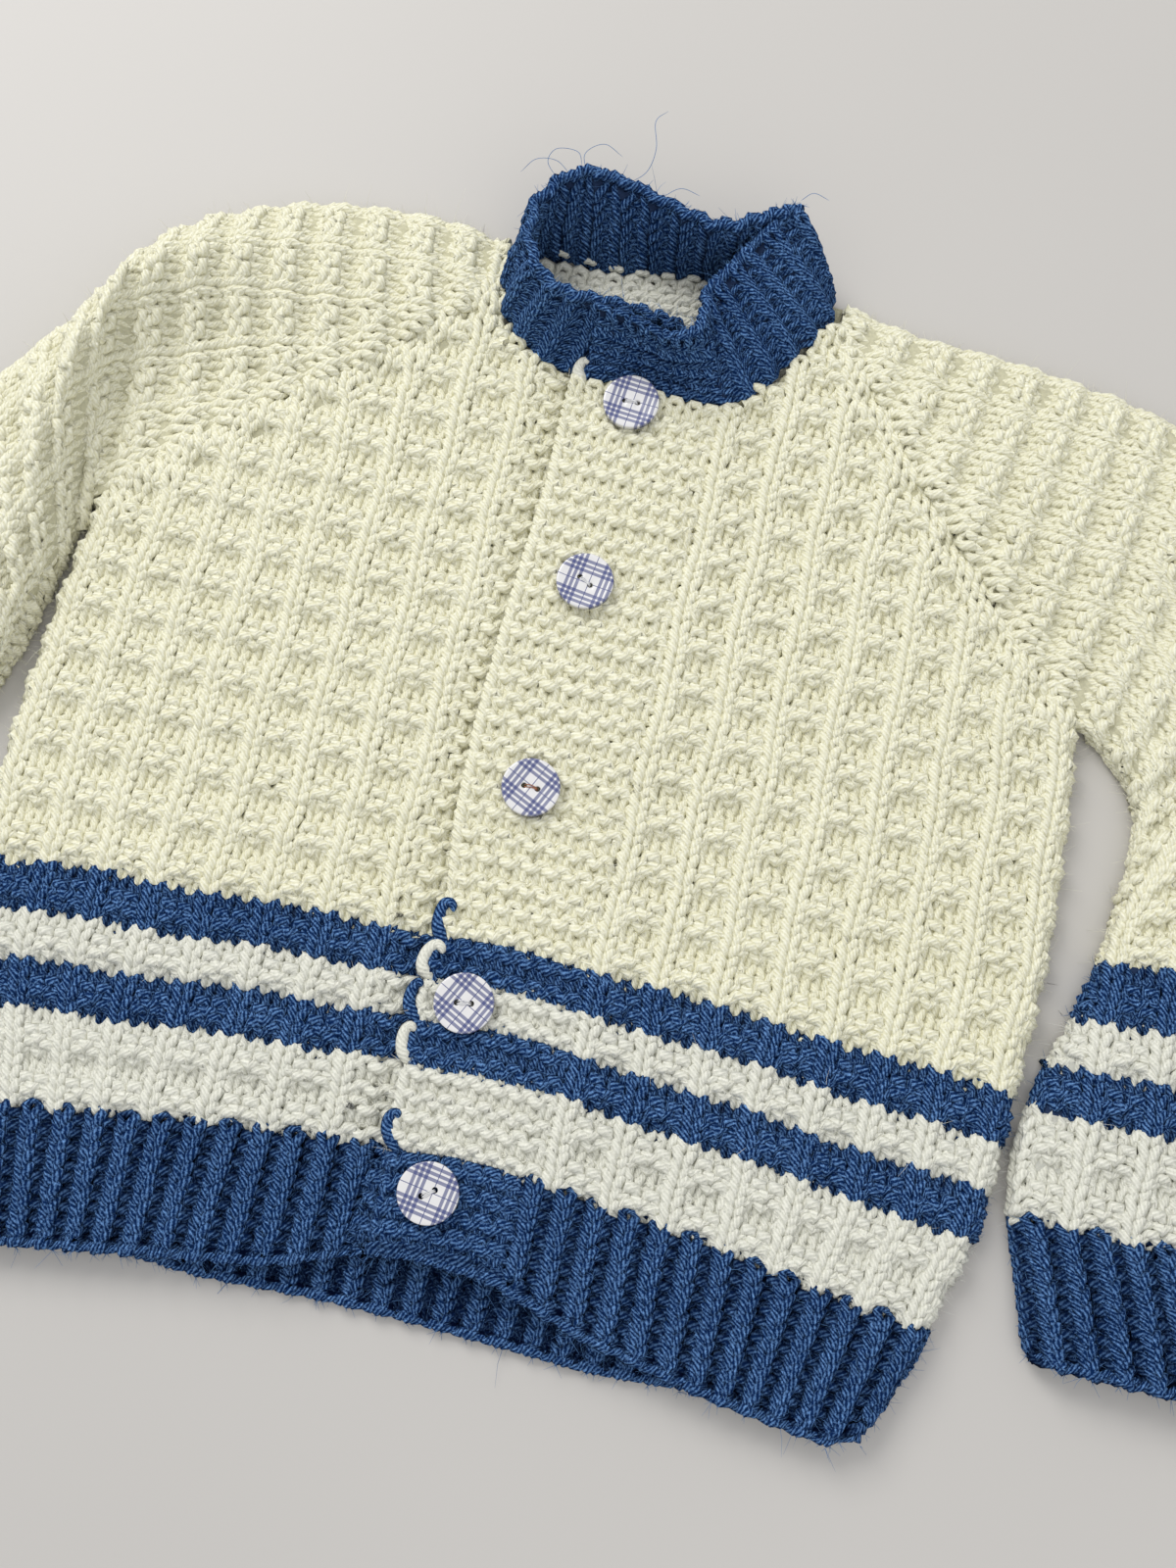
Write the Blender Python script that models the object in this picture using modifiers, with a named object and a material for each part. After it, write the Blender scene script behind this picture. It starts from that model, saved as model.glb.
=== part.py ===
"""Baby's raglan cardigan, hand knitted, buttoned up and lying on its back on a flat surface.

Sizes are millimetres of the garment. x runs from the button line toward the wearer's left sleeve,
y runs from the hem up to the neck, z is height over the surface the back lies on.
"""

import bmesh
import bpy
import numpy as np

MM = 0.001
MIDDLE_Y = 120.0          # the origin is under the back, this far up from the hem
GAP = 0.3                 # between pieces that are sewn or lie on each other
WALL = 3.2                # thickness of the waffle fabric
BACK_WALL = 3.0           # thickness of the back, pressed flat by its own weight
ROW_STEP = 6.0            # half a waffle: two knitted rows up, two rows down
WALE_STEP = 7.3           # half a waffle across
PIT = 1.1                 # depth of a waffle's pit
RIB_STEP = 4.0            # half a rib of the welts, cuffs and neckband
RIB = 0.9                 # height of a rib over its groove
BAND_LEFT = -14.0         # the overlap of the button band, on the lower front
BAND_RIGHT = 27.5
FRONT_TOP = 8.7           # top of the fronts away from the band and the side seams
BAND_TOP = 9.9            # top of the band that carries the buttons
UNDER_TOP = 6.3           # top of the band beneath it
SIDE_ROUND = 14.0         # how far in from the side seam the front curves down
HEM_TOP = 34.0            # where the welt meets the body, at the band
LIFT = 1.4                # how far the middle of the front welt lifts
NECK_Y = 239.2            # the front neckline at the edge of the band
BACK_NECK_Y = 271.3       # the back neckline on the wearer's right
BACK_NECK_RISE = 7.0      # how much higher it lies on the wearer's left

BUTTON_RADIUS = 7.5
BUTTON_THICK = 2.0
BUTTON_RIM = 0.35
HOLE_RADIUS = 0.75
HOLE_SPACING = 3.4

CREAM = (0.86, 0.83, 0.70, 1.0)
BLUE = (0.05, 0.13, 0.33, 1.0)
WHITE = (0.85, 0.86, 0.90, 1.0)

# Side seams and raglan seams, from the hem to the neck: y, x of the wearer's right, x of the left.
SEAM = np.array([
    # y      right    left
    (-12.0, -104.0, 104.0),
    (0.0, -114.0, 114.0),
    (8.0, -118.0, 118.5),
    (19.0, -122.0, 122.5),
    (45.0, -130.0, 131.0),
    (65.0, -133.0, 133.0),
    (112.0, -134.0, 136.0),
    (147.0, -133.0, 135.0),
    (174.0, -131.0, 133.0),
    (187.0, -122.0, 119.5),
    (200.0, -108.5, 107.5),
    (214.0, -92.0, 96.0),
    (228.0, -74.0, 84.0),
    (242.0, -60.0, 74.0),
    (256.0, -47.0, 62.5),
    (262.0, -44.5, 56.0),
    (268.0, -44.0, 51.5),
    (286.0, -44.0, 51.5),
])
ARMPIT_Y = 174.0

# Front necklines: distance from the button line on the wearer's right, on the left, height.
NECKLINE = np.array([
    # right  left   y
    (-26.0, -20.0, 239.2),
    (7.0, -4.0, 239.6),
    (17.0, 8.0, 239.8),
    (21.0, 19.5, 240.4),
    (27.2, 28.0, 241.3),
    (36.4, 35.6, 247.8),
    (43.2, 41.0, 256.6),
    (44.2, 46.2, 265.0),
    (46.0, 49.8, 273.0),
    (47.5, 58.0, 290.0),
])

# Lower edge of the front welt: x, y.
HEM_EDGE = np.array([
    (-130.0, -6.0),
    (-104.0, -10.5),
    (-75.0, -6.0),
    (-34.0, 0.5),
    (-12.0, 8.0),
    (0.0, 10.0),
    (17.0, 9.5),
    (44.0, 1.0),
    (75.0, -5.0),
    (104.0, -8.5),
    (130.0, -5.0),
])

# How much lower a row of knitting lies at the side seam than at the band: height of row, drop.
ROW_DROP = np.array([
    (-10.0, 14.5),
    (34.0, 14.5),
    (53.0, 11.0),
    (65.0, 10.0),
    (85.0, 6.0),
    (120.0, 1.0),
    (150.0, 0.0),
    (300.0, 0.0),
])

# Sleeve sections from neck to cuff: the shoulder fold, the underarm fold (inside the body until the
# armpit), height of the crown, where the crown lies from underarm 0 to shoulder 1, and its width.
LEFT_SLEEVE = np.array([
    # fold_x fold_y under_x under_y crown at width
    (52.0, 279.0, 38.0, 190.0, 8.8, 0.6, 0.5),
    (63.0, 275.5, 49.0, 187.0, 9.4, 0.6, 0.5),
    (79.0, 273.5, 65.0, 185.0, 10.6, 0.6, 0.4),
    (97.0, 272.0, 83.0, 183.0, 11.8, 0.6, 0.4),
    (115.0, 269.5, 101.0, 180.0, 12.6, 0.6, 0.4),
    (131.0, 267.0, 117.0, 177.0, 13.2, 0.6, 0.4),
    (147.0, 263.0, 133.0, 174.0, 13.6, 0.55, 0.5),
    (168.0, 255.0, 143.0, 166.0, 13.8, 0.5, 0.8),
    (188.0, 241.0, 151.0, 157.0, 14.0, 0.5, 0.8),
    (205.0, 223.0, 151.0, 146.0, 14.0, 0.5, 0.8),
    (218.0, 202.0, 149.5, 132.0, 14.0, 0.5, 0.8),
    (226.0, 178.0, 148.0, 118.0, 13.8, 0.5, 0.8),
    (228.0, 153.0, 144.0, 103.0, 13.2, 0.5, 0.8),
    (226.0, 128.0, 139.5, 88.0, 12.4, 0.5, 0.8),
    (221.0, 102.0, 136.5, 74.0, 11.8, 0.5, 0.8),
    (214.0, 76.0, 135.5, 62.0, 11.2, 0.5, 0.8),
    (207.0, 52.0, 137.0, 51.0, 10.8, 0.5, 0.8),
])
RIGHT_SLEEVE = np.array([
    (-44.5, 275.0, -27.0, 186.0, 8.8, 0.6, 0.5),
    (-56.0, 278.0, -38.0, 188.0, 9.6, 0.7, 0.4),
    (-75.0, 277.5, -57.0, 188.0, 11.4, 0.75, 0.32),
    (-93.0, 275.0, -76.0, 186.0, 14.0, 0.8, 0.28),
    (-109.0, 270.0, -95.0, 183.0, 17.5, 0.82, 0.25),
    (-124.0, 262.0, -114.0, 179.0, 21.5, 0.82, 0.24),
    (-135.0, 251.0, -131.0, 174.0, 24.0, 0.8, 0.26),
    (-143.0, 238.0, -133.0, 166.0, 24.5, 0.72, 0.36),
    (-152.0, 223.0, -134.5, 155.0, 24.0, 0.6, 0.5),
    (-164.0, 205.0, -136.0, 143.0, 22.5, 0.55, 0.7),
    (-177.0, 184.0, -138.0, 132.0, 20.5, 0.5, 0.8),
    (-189.0, 162.0, -142.0, 120.0, 18.5, 0.5, 0.8),
    (-199.0, 140.0, -146.5, 106.0, 16.5, 0.5, 0.8),
    (-207.0, 117.0, -150.5, 92.0, 14.5, 0.5, 0.8),
    (-212.0, 94.0, -153.5, 78.0, 13.0, 0.5, 0.8),
    (-215.0, 72.0, -155.0, 65.0, 11.8, 0.5, 0.8),
    (-216.0, 51.0, -156.0, 51.0, 10.8, 0.5, 0.8),
])
ARMPIT_SECTION = 6        # the section at which each sleeve closes to a tube
ELBOW = (9.0, 3.2)        # section and depth of the crease at the bend of the wearer's left sleeve

# Neckband, from its end over the band round the neck to its end beneath: foot, rim, and how far
# in and up from the foot the knee lies that the height of the band bends over, and its thickness,
# less where the ends lap and at the sharp corner.
NECKBAND = np.array([
    # foot_x foot_y foot_z  rim_x  rim_y rim_z  in  up  wall
    (-13.5, 239.6, 8.3, -11.5, 251.6, 24.0, 6.0, 0.5, 2.4),
    (-4.0, 240.2, 8.3, -3.0, 250.0, 24.5, 6.0, 0.5, 2.4),
    (8.0, 240.6, 8.3, 7.0, 249.3, 24.5, 6.0, 0.5, 2.4),
    (19.0, 241.2, 8.2, 14.0, 250.0, 23.5, 6.0, 0.8, 2.6),
    (27.5, 243.4, 8.0, 15.8, 256.0, 22.0, 6.0, 2.0, 3.2),
    (34.5, 249.8, 7.6, 16.5, 264.0, 21.0, 6.0, 5.0, 3.2),
    (39.5, 258.0, 7.2, 18.0, 271.5, 20.0, 6.0, 6.0, 3.0),
    (44.5, 266.0, 6.4, 23.0, 278.6, 19.5, 6.0, 6.0, 2.4),
    (47.2, 273.0, 5.0, 29.5, 286.8, 20.5, 6.0, 7.0, 1.8),
    (45.8, 279.5, 3.6, 34.9, 293.6, 21.5, 4.0, 8.0, 1.5),
    (39.0, 282.0, 1.2, 31.0, 295.8, 22.5, 3.0, 8.0, 1.6),
    (28.0, 280.8, 0.4, 24.0, 290.8, 23.5, 2.0, 8.0, 2.0),
    (15.0, 278.8, 0.4, 14.0, 284.6, 24.5, 1.0, 8.0, 3.2),
    (1.0, 276.8, 0.4, 1.5, 286.6, 22.5, 2.0, 8.0, 3.2),
    (-13.0, 274.8, 0.4, -13.5, 289.2, 21.0, 3.0, 7.0, 3.2),
    (-25.0, 274.8, 0.6, -24.5, 289.6, 21.5, 3.0, 7.0, 3.2),
    (-34.0, 274.2, 2.2, -31.5, 283.0, 22.5, 2.0, 8.0, 3.2),
    (-38.2, 267.0, 5.0, -34.8, 273.0, 24.5, 0.5, 8.0, 3.2),
    (-38.6, 259.0, 5.8, -32.8, 263.5, 26.0, 0.5, 8.0, 3.2),
    (-34.5, 249.8, 6.6, -27.0, 256.8, 26.0, 2.0, 6.0, 3.2),
    (-26.5, 243.8, 6.6, -19.5, 255.0, 25.2, 4.0, 3.0, 2.8),
    (-17.0, 241.2, 5.6, -11.0, 255.4, 24.6, 7.0, 0.6, 2.4),
    (-7.0, 241.4, 4.8, -2.0, 255.6, 24.2, 8.0, 0.3, 2.4),
    (5.0, 241.8, 4.8, 5.5, 255.8, 24.0, 8.0, 0.3, 2.4),
    (15.0, 242.4, 4.8, 10.5, 256.2, 23.0, 8.0, 0.3, 2.4),
])
NECKBAND_STEPS = 5

# Buttons: x, y, turn of the two holes in degrees, tilt in degrees and height over the level band.
BUTTONS = np.array([
    # x      y     turn   tilt  raised
    (1.0, 232.6, -20.0, 0.0, 0.0),
    (1.0, 182.0, -75.0, 0.0, 0.0),
    (0.5, 126.0, 5.0, 0.0, 0.0),
    (-3.0, 70.0, 15.0, 0.0, 0.0),
    (0.0, 24.5, 80.0, -3.3, 0.6),
])


def column(table, at, index):
    """Straight-line reading of one column of a table whose first column rises."""
    return np.interp(at, table[:, 0], table[:, index])


def blend(table, at):
    """Smooth reading of every column of a table by row number (Catmull-Rom)."""
    at = np.clip(np.asarray(at, float), 0.0, len(table) - 1.0)
    start = np.minimum(at.astype(int), len(table) - 2)
    t = (at - start)[:, None]
    padded = np.vstack([2 * table[0] - table[1], table, 2 * table[-1] - table[-2]])
    a, b, c, d = (padded[start + k] for k in range(4))
    return 0.5 * (2 * b + (c - a) * t + (2 * a - 5 * b + 4 * c - d) * t**2 + (3 * b - a - 3 * c + d) * t**3)


def ease(value):
    """0 below 0, 1 above 1, a smooth S between."""
    value = np.clip(value, 0.0, 1.0)
    return value * value * (3 - 2 * value)


def side_x(y, side):
    """x of the side or raglan seam at height y, on the wearer's right (-1) or left (1)."""
    return column(SEAM, y, 1 if side < 0 else 2)


def row_y(x, row):
    """Height at x of the row of knitting that crosses the band at the given height."""
    reach = np.clip(np.abs(x - 5.0) / 120.0, 0.0, 1.2)
    return row - column(ROW_DROP, row, 1) * reach**1.25


def front_top(x, y, side):
    """Upper surface of a front: level, stepped at the band, curving down to the side seam."""
    if side > 0:
        level = BAND_TOP + (FRONT_TOP - BAND_TOP) * ease((x - BAND_RIGHT) / 16.0)
    else:
        level = UNDER_TOP + (FRONT_TOP - UNDER_TOP) * ease((BAND_LEFT - 1.5 - x) / 12.0)
    inset = np.abs(column(SEAM, np.minimum(y, ARMPIT_Y), 1 if side < 0 else 2)) - np.abs(x)
    edge = BACK_WALL + GAP + WALL
    curve = np.sqrt(np.clip(1 - (1 - np.clip(inset / SIDE_ROUND, 0, 1)) ** 2, 0, 1))
    return edge + (level - edge) * curve


def mesh_object(name, points, faces, colour):
    """Object of the cardigan from points in garment millimetres, with its own material."""
    data = bpy.data.meshes.new(name)
    data.from_pydata(((points - (0, MIDDLE_Y, 0)) * MM).tolist(), [], faces)
    data.validate()
    made = bpy.data.objects.new(name, data)
    CARDIGAN.objects.link(made)
    own_material(made, colour)
    return made


def own_material(made, colour):
    """Gives the object a Principled material of its own."""
    slot = bpy.data.materials.new("mat_" + made.name)
    slot.use_nodes = True
    shader = slot.node_tree.nodes["Principled BSDF"]
    shader.inputs["Base Color"].default_value = colour
    shader.inputs["Roughness"].default_value = 0.9
    slot.diffuse_color = colour
    made.data.materials.clear()
    made.data.materials.append(slot)


def shell(name, outer, inner, colour):
    """One closed cloth body between two grids of points (rows, columns, 3).

    The outer grid faces out, the inner one faces in, and a rim closes every free edge. Neighbours
    that lie at one point become one, so rows that are clamped to a seam end on it.
    """
    rows, columns = outer.shape[:2]
    flat = outer.reshape(-1, 3)
    _, first, weld = np.unique(np.round(flat, 4), axis=0, return_index=True, return_inverse=True)
    weld = weld.reshape(rows, columns)
    count = len(first)
    sheet = []
    for i in range(rows - 1):
        for j in range(columns - 1):
            a, b, c, d = weld[i, j], weld[i, j + 1], weld[i + 1, j + 1], weld[i + 1, j]
            halves = [(a, b, c), (a, c, d)] if (i + j) % 2 == 0 else [(a, b, d), (b, c, d)]
            sheet += [[int(v) for v in half] for half in halves if len(set(half)) == 3]
    edges = {(ring[k - 1], ring[k]) for ring in sheet for k in range(len(ring))}
    rim = [[b, a, a + count, b + count] for a, b in edges if (b, a) not in edges]
    back = [[v + count for v in reversed(ring)] for ring in sheet]
    points = np.vstack([flat[first], inner.reshape(-1, 3)[first]])
    made = mesh_object(name, points, sheet + sorted(rim) + back, colour)
    tidy(made)
    return made


def tidy(made):
    """Turns the body outward if it is inside out and joins its level neighbouring faces."""
    body = bmesh.new()
    body.from_mesh(made.data)
    loose = [v for v in body.verts if not v.link_faces]
    bmesh.ops.delete(body, geom=loose, context="VERTS")
    if body.calc_volume(signed=True) < 0:
        bmesh.ops.reverse_faces(body, faces=body.faces)
    bmesh.ops.dissolve_limit(body, angle_limit=0.004, verts=body.verts, edges=body.edges, delimit=set())
    bmesh.ops.triangulate(body, faces=body.faces)
    body.to_mesh(made.data)
    body.free()


def steps(start, stop, spacing):
    """Even steps from start to stop, near the given spacing."""
    return np.linspace(start, stop, max(2, int(round(abs(stop - start) / spacing)) + 1))


def waffle(row_number, column_number):
    """Depth of the pit at each crossing: every second row from the first, every second column."""
    even_row = ((np.arange(row_number) + 1) % 2)[:, None]
    odd_column = (np.arange(column_number) % 2)[None, :]
    return PIT * even_row * odd_column


def rib_wave(number, start=0):
    """Ribs up and down across the columns, plain before the given column."""
    wave = np.where(np.arange(number) % 2 == 0, 0.0, -RIB)
    wave[:start] = 0.0
    return wave[None, :]


def front(name, side):
    """A front with its button band knitted in one, up to the raglan seam and the neckline."""
    rows = np.append(steps(HEM_TOP + 1.5 * GAP, NECK_Y - 0.6, ROW_STEP), steps(NECK_Y + 4.6, 267.5, 5.6))
    if side > 0:
        band = np.array([BAND_LEFT, -4.0, 6.0, 16.0, BAND_RIGHT])
        waled = BAND_RIGHT + WALE_STEP * np.arange(1, 17)
    else:
        band = -np.array([-BAND_RIGHT + 3.5, -12.0, 0.0, 9.0, 15.5])
        waled = -(13.7 + WALE_STEP * np.arange(1, 18))
    across = np.append(band, waled)
    x = np.repeat(across[None, :], len(rows), axis=0)
    row = np.repeat(rows[:, None], len(across), axis=1)
    for _ in range(6):
        y = row_y(x, row)
        seam = side_x(y, side) - side * np.where(y > ARMPIT_Y, GAP, 0.0)
        x = side * np.minimum(side * across, side * seam)
    neck = np.interp(side * x, NECKLINE[:, 1 if side > 0 else 0], NECKLINE[:, 2])
    y = np.minimum(row_y(x, row), neck)
    top = front_top(x, y, side)
    pit = waffle(len(rows), len(across))
    pit[:, :len(band)] = 0.0
    pit[[0, -1]] = 0.0
    pit = np.where((np.abs(seam - x) < 3.0) | (y > neck - 2.0), 0.0, pit)
    outer = np.dstack([x, y, top - pit])
    inner = np.dstack([x, y, top - np.where(top < UNDER_TOP + 0.01, UNDER_TOP - BACK_WALL - GAP, WALL)])
    return shell(name, outer, inner, CREAM)


def front_welt(name, side):
    """The ribbed welt of a front, with the plain end of its band."""
    if side > 0:
        band = np.array([BAND_LEFT, 0.0, 13.0, BAND_RIGHT])
        ribs = BAND_RIGHT + RIB_STEP * np.arange(1, 26)
    else:
        band = -np.array([-BAND_RIGHT + 2.0, -5.0, 13.0])
        ribs = -(13.0 + RIB_STEP * np.arange(1, 29))
    across = np.append(band, ribs)
    share = np.linspace(0.0, 1.0, 4)[:, None]
    seam_top = side_x(19.0, side)
    seam_low = side_x(2.0, side)
    reach = (across[None, :] - band[0]) / (across[-1] - band[0])
    x = band[0] + reach * ((seam_top + (seam_low - seam_top) * share) - band[0])
    upper = row_y(x, np.full_like(x, HEM_TOP))
    lower = column(HEM_EDGE, x, 1)
    corner = 9.0 * np.clip((np.abs(x) - 104.0) / 14.0, 0, 1) ** 2
    y = upper + (lower + corner * share - upper) * share
    lift = LIFT * share * np.exp(-(((x - 5.0) / 45.0) ** 2))
    top = front_top(x, np.maximum(y, 0.0), side) + lift
    wall = np.where(front_top(x, y, side) < UNDER_TOP + 0.01, UNDER_TOP - BACK_WALL - GAP, WALL)
    wave = rib_wave(len(across), len(band))
    narrow = np.ones_like(x)
    narrow[:, -1] = 0.0
    outer = np.dstack([x, y, top + wave * narrow])
    under = np.where(wave * narrow < 0, 0.0, -RIB * 0.5) * (np.arange(len(across)) >= len(band))
    under = np.where(np.abs(np.abs(x) - np.abs(x[:, -1:])) < SIDE_ROUND, 0.0, under)
    inner = np.dstack([x, y, top - wall + under])
    return shell(name, outer, inner, BLUE)


def back_panel():
    """The back, flat on the surface from the welt to the neck, cut along both raglan seams."""
    rows = np.append(steps(25.0, ARMPIT_Y, 30.0), steps(ARMPIT_Y + 6.5, BACK_NECK_Y, 5.0))
    share = np.linspace(0.0, 1.0, 9)[None, :]
    row = np.repeat(rows[:, None], 9, axis=1)
    cut = np.where(rows > ARMPIT_Y, GAP, 0.0)
    rise = BACK_NECK_RISE * ease((rows - 230.0) / 42.0)
    right = side_x(rows, -1) + cut
    left = side_x(rows + rise, 1) - cut
    x = right[:, None] + (left - right)[:, None] * share
    y = row + rise[:, None] * np.clip((x + 14.0) / 60.0, 0.0, 1.0)
    upper = np.dstack([x, y, np.full_like(x, BACK_WALL)])
    lower = np.dstack([x, y, np.zeros_like(x)])
    return shell("back", upper, lower, CREAM)


def back_welt():
    """The ribbed welt of the back: ribs on its upper face, flat below."""
    half = 118.0
    across = steps(-half, half, RIB_STEP)
    share = np.linspace(0.0, 1.0, 3)[:, None]
    x = across[None, :] * (1.0 - 0.05 * share)
    hidden = column(HEM_EDGE, x, 1) + 0.6 - 20.0 * (1 - ease((np.abs(x) - 50.0) / 26.0))
    lower = np.maximum(-9.0, hidden) + 5.0 * np.clip((np.abs(x) - 103.0) / 12.0, 0, 1) ** 2
    y = 25.0 - GAP + (lower - 25.0 + GAP) * share
    upper = np.dstack([x, y, BACK_WALL + rib_wave(len(across)) + 0 * x])
    under = np.dstack([x, y, np.zeros_like(x)])
    return shell("back_welt", upper, under, BLUE)


def ring_shares():
    """Positions round a sleeve from the underarm over the crown to the fold and back beneath."""
    over = np.concatenate([[0.0, 0.03], np.linspace(0.085, 0.915, 14), [0.97, 1.0]])
    beneath = np.array([0.97, 0.9, 0.6, 0.3, 0.1, 0.03, 0.0])
    return over, beneath


def sleeve_rings(section, share, over):
    """Points of the outside and the inside of one stretch of sleeve.

    Each section is a flattened ring: flat beneath, rounded at both folds, raised over the crown.
    """
    fold = section[:, None, 0:2]
    under = section[:, None, 2:4]
    crown, at, width = (section[:, None, k] for k in (4, 5, 6))
    along = under + (fold - under) * share[:, :, None]
    c = np.abs(2 * share - 1)
    low = np.minimum(FRONT_TOP, crown)
    height = low + (crown - low) * np.exp(-(((share - at) / width) ** 2))
    middle = np.minimum(0.42 * crown, 5.2)
    if over:
        round_off = (1 - c**4) ** (1 / 2.2)
        z = middle + (height - middle) * round_off
        inside = z - WALL * round_off
    else:
        round_off = (1 - c**8) ** (1 / 3)
        z = np.maximum(0.0, middle * (1 - 1.06 * round_off))
        inside = z + (WALL - 0.2) * round_off
    chord = (fold - under) / np.linalg.norm(fold - under, axis=2, keepdims=True)
    inset = WALL * (1 - round_off) * np.sign(0.5 - share)
    moved = along + chord * inset[:, :, None]
    return np.dstack([along, z]), np.dstack([moved, inside])


def raglan_share(section, side):
    """Where each section comes out from under the raglan seam, from underarm 0 to fold 1."""
    tries = np.linspace(0.0, 1.0, 801)
    line = section[:, None, 2:4] + (section[:, None, 0:2] - section[:, None, 2:4]) * tries[None, :, None]
    seam = side_x(line[:, :, 1], side) + side * GAP / 2
    inside = side * line[:, :, 0] < side * seam
    last = np.where(inside, np.arange(801)[None, :], -1).max(axis=1)
    return tries[np.minimum(last + 1, 800)]


def sleeve(name, table, side):
    """A sleeve: open along the raglan seam, then a tube down to the cuff."""
    middle = (table[:, 0:2] + table[:, 2:4]) / 2
    length = np.append(0, np.cumsum(np.linalg.norm(np.diff(middle, axis=0), axis=1)))
    cap = steps(0.0, length[ARMPIT_SECTION], ROW_STEP)
    tube = steps(length[ARMPIT_SECTION], length[-1] - GAP, ROW_STEP)[1:]
    at = np.interp(np.append(cap, tube), length, np.arange(len(table)))
    section = blend(table, at)
    open_share = raglan_share(section, side)
    open_share[len(cap) - 1:] = 0.0
    over, beneath = ring_shares()
    over_share = np.maximum(over[None, :], open_share[:, None])
    under_share = np.maximum(beneath[None, :], open_share[:, None])
    over_outer, over_inner = sleeve_rings(section, over_share, True)
    under_outer, under_inner = sleeve_rings(section, under_share, False)
    pit = waffle(len(at), len(over))
    pit[:, :2] = 0.0
    pit[:, -2:] = 0.0
    pit[-1] = 0.0
    pit[0] = 0.0
    pit = np.where(over_share <= open_share[:, None] + 0.02, 0.0, pit)
    if side > 0:
        crease = ELBOW[1] * np.exp(-(((at[:, None] - ELBOW[0]) / 0.45) ** 2)) * (1 - ease(over_share / 0.5))
        crease = crease * np.clip(over_share / 0.1, 0, 1)
        over_outer[:, :, 2] -= crease
        over_inner[:, :, 2] -= crease
    over_outer[:, :, 2] -= pit
    outer = np.concatenate([over_outer, under_outer], axis=1)
    inner = np.concatenate([over_inner, under_inner], axis=1)
    return shell(name, outer, inner, CREAM)


def cuff(name, start, stop):
    """A ribbed cuff: a flattened ring whose ribs run down the sleeve."""
    table = np.array([start, stop])
    section = blend(table, np.linspace(0.0, 1.0, 4))
    over = np.concatenate([[0.0, 0.03], np.linspace(0.09, 0.91, 14), [0.97, 1.0]])
    beneath = np.array([0.97, 0.9, 0.5, 0.1, 0.03, 0.0])
    over_outer, over_inner = sleeve_rings(section, np.repeat(over[None, :], 4, axis=0), True)
    under_outer, under_inner = sleeve_rings(section, np.repeat(beneath[None, :], 4, axis=0), False)
    wave = rib_wave(len(over))
    wave[:, -1] = 0.0
    over_outer[:, :, 2] += wave
    over_inner[:, :, 2] -= np.where(wave < 0, 0.0, 0.4) * ((over > 0.05) & (over < 0.95))
    outer = np.concatenate([over_outer, under_outer], axis=1)
    inner = np.concatenate([over_inner, under_inner], axis=1)
    return shell(name, outer, inner, BLUE)


def neckband():
    """The ribbed neckband: a strip stood on the neckline, its ends lapped over each other."""
    foot_path = NECKBAND[:, 0:3]
    length = np.append(0, np.cumsum(np.linalg.norm(np.diff(foot_path, axis=0), axis=1)))
    at = np.interp(steps(0.0, length[-1], RIB_STEP), length, np.arange(len(NECKBAND)))
    section = blend(NECKBAND, at)
    foot = section[:, 0:3]
    rim = section[:, 3:6]
    run = np.gradient((foot + rim) / 2, axis=0)
    rise = rim - foot
    inward = rise * (1.0, 1.0, 0.0)
    inward /= np.linalg.norm(inward, axis=1, keepdims=True)
    knee = foot + inward * section[:, 6:7] + (0.0, 0.0, 1.0) * section[:, 7:8]
    share = np.linspace(0.0, 1.0, NECKBAND_STEPS)[:, None, None]
    line = (1 - share) ** 2 * foot + 2 * share * (1 - share) * knee + share**2 * rim
    slope = 2 * (1 - share) * (knee - foot) + 2 * share * (rim - knee)
    normal = np.cross(slope, np.repeat(run[None], len(share), axis=0))
    normal /= np.linalg.norm(normal, axis=2, keepdims=True)
    wave = (rib_wave(len(at)) + RIB / 2) / 2
    plain = np.arange(len(at)) < 9
    wave = np.where(plain | (np.arange(len(at)) > len(at) - 9), 0.0, wave)[:, :, None]
    half = section[None, :, 8:9] / 2
    outer = line + normal * (half + wave)
    inner = line - normal * (half - wave)
    outer[:, :, 2] = np.maximum(outer[:, :, 2], 0.0)
    inner[:, :, 2] = np.maximum(inner[:, :, 2], 0.0)
    return shell("neckband", outer, inner, BLUE)


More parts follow.
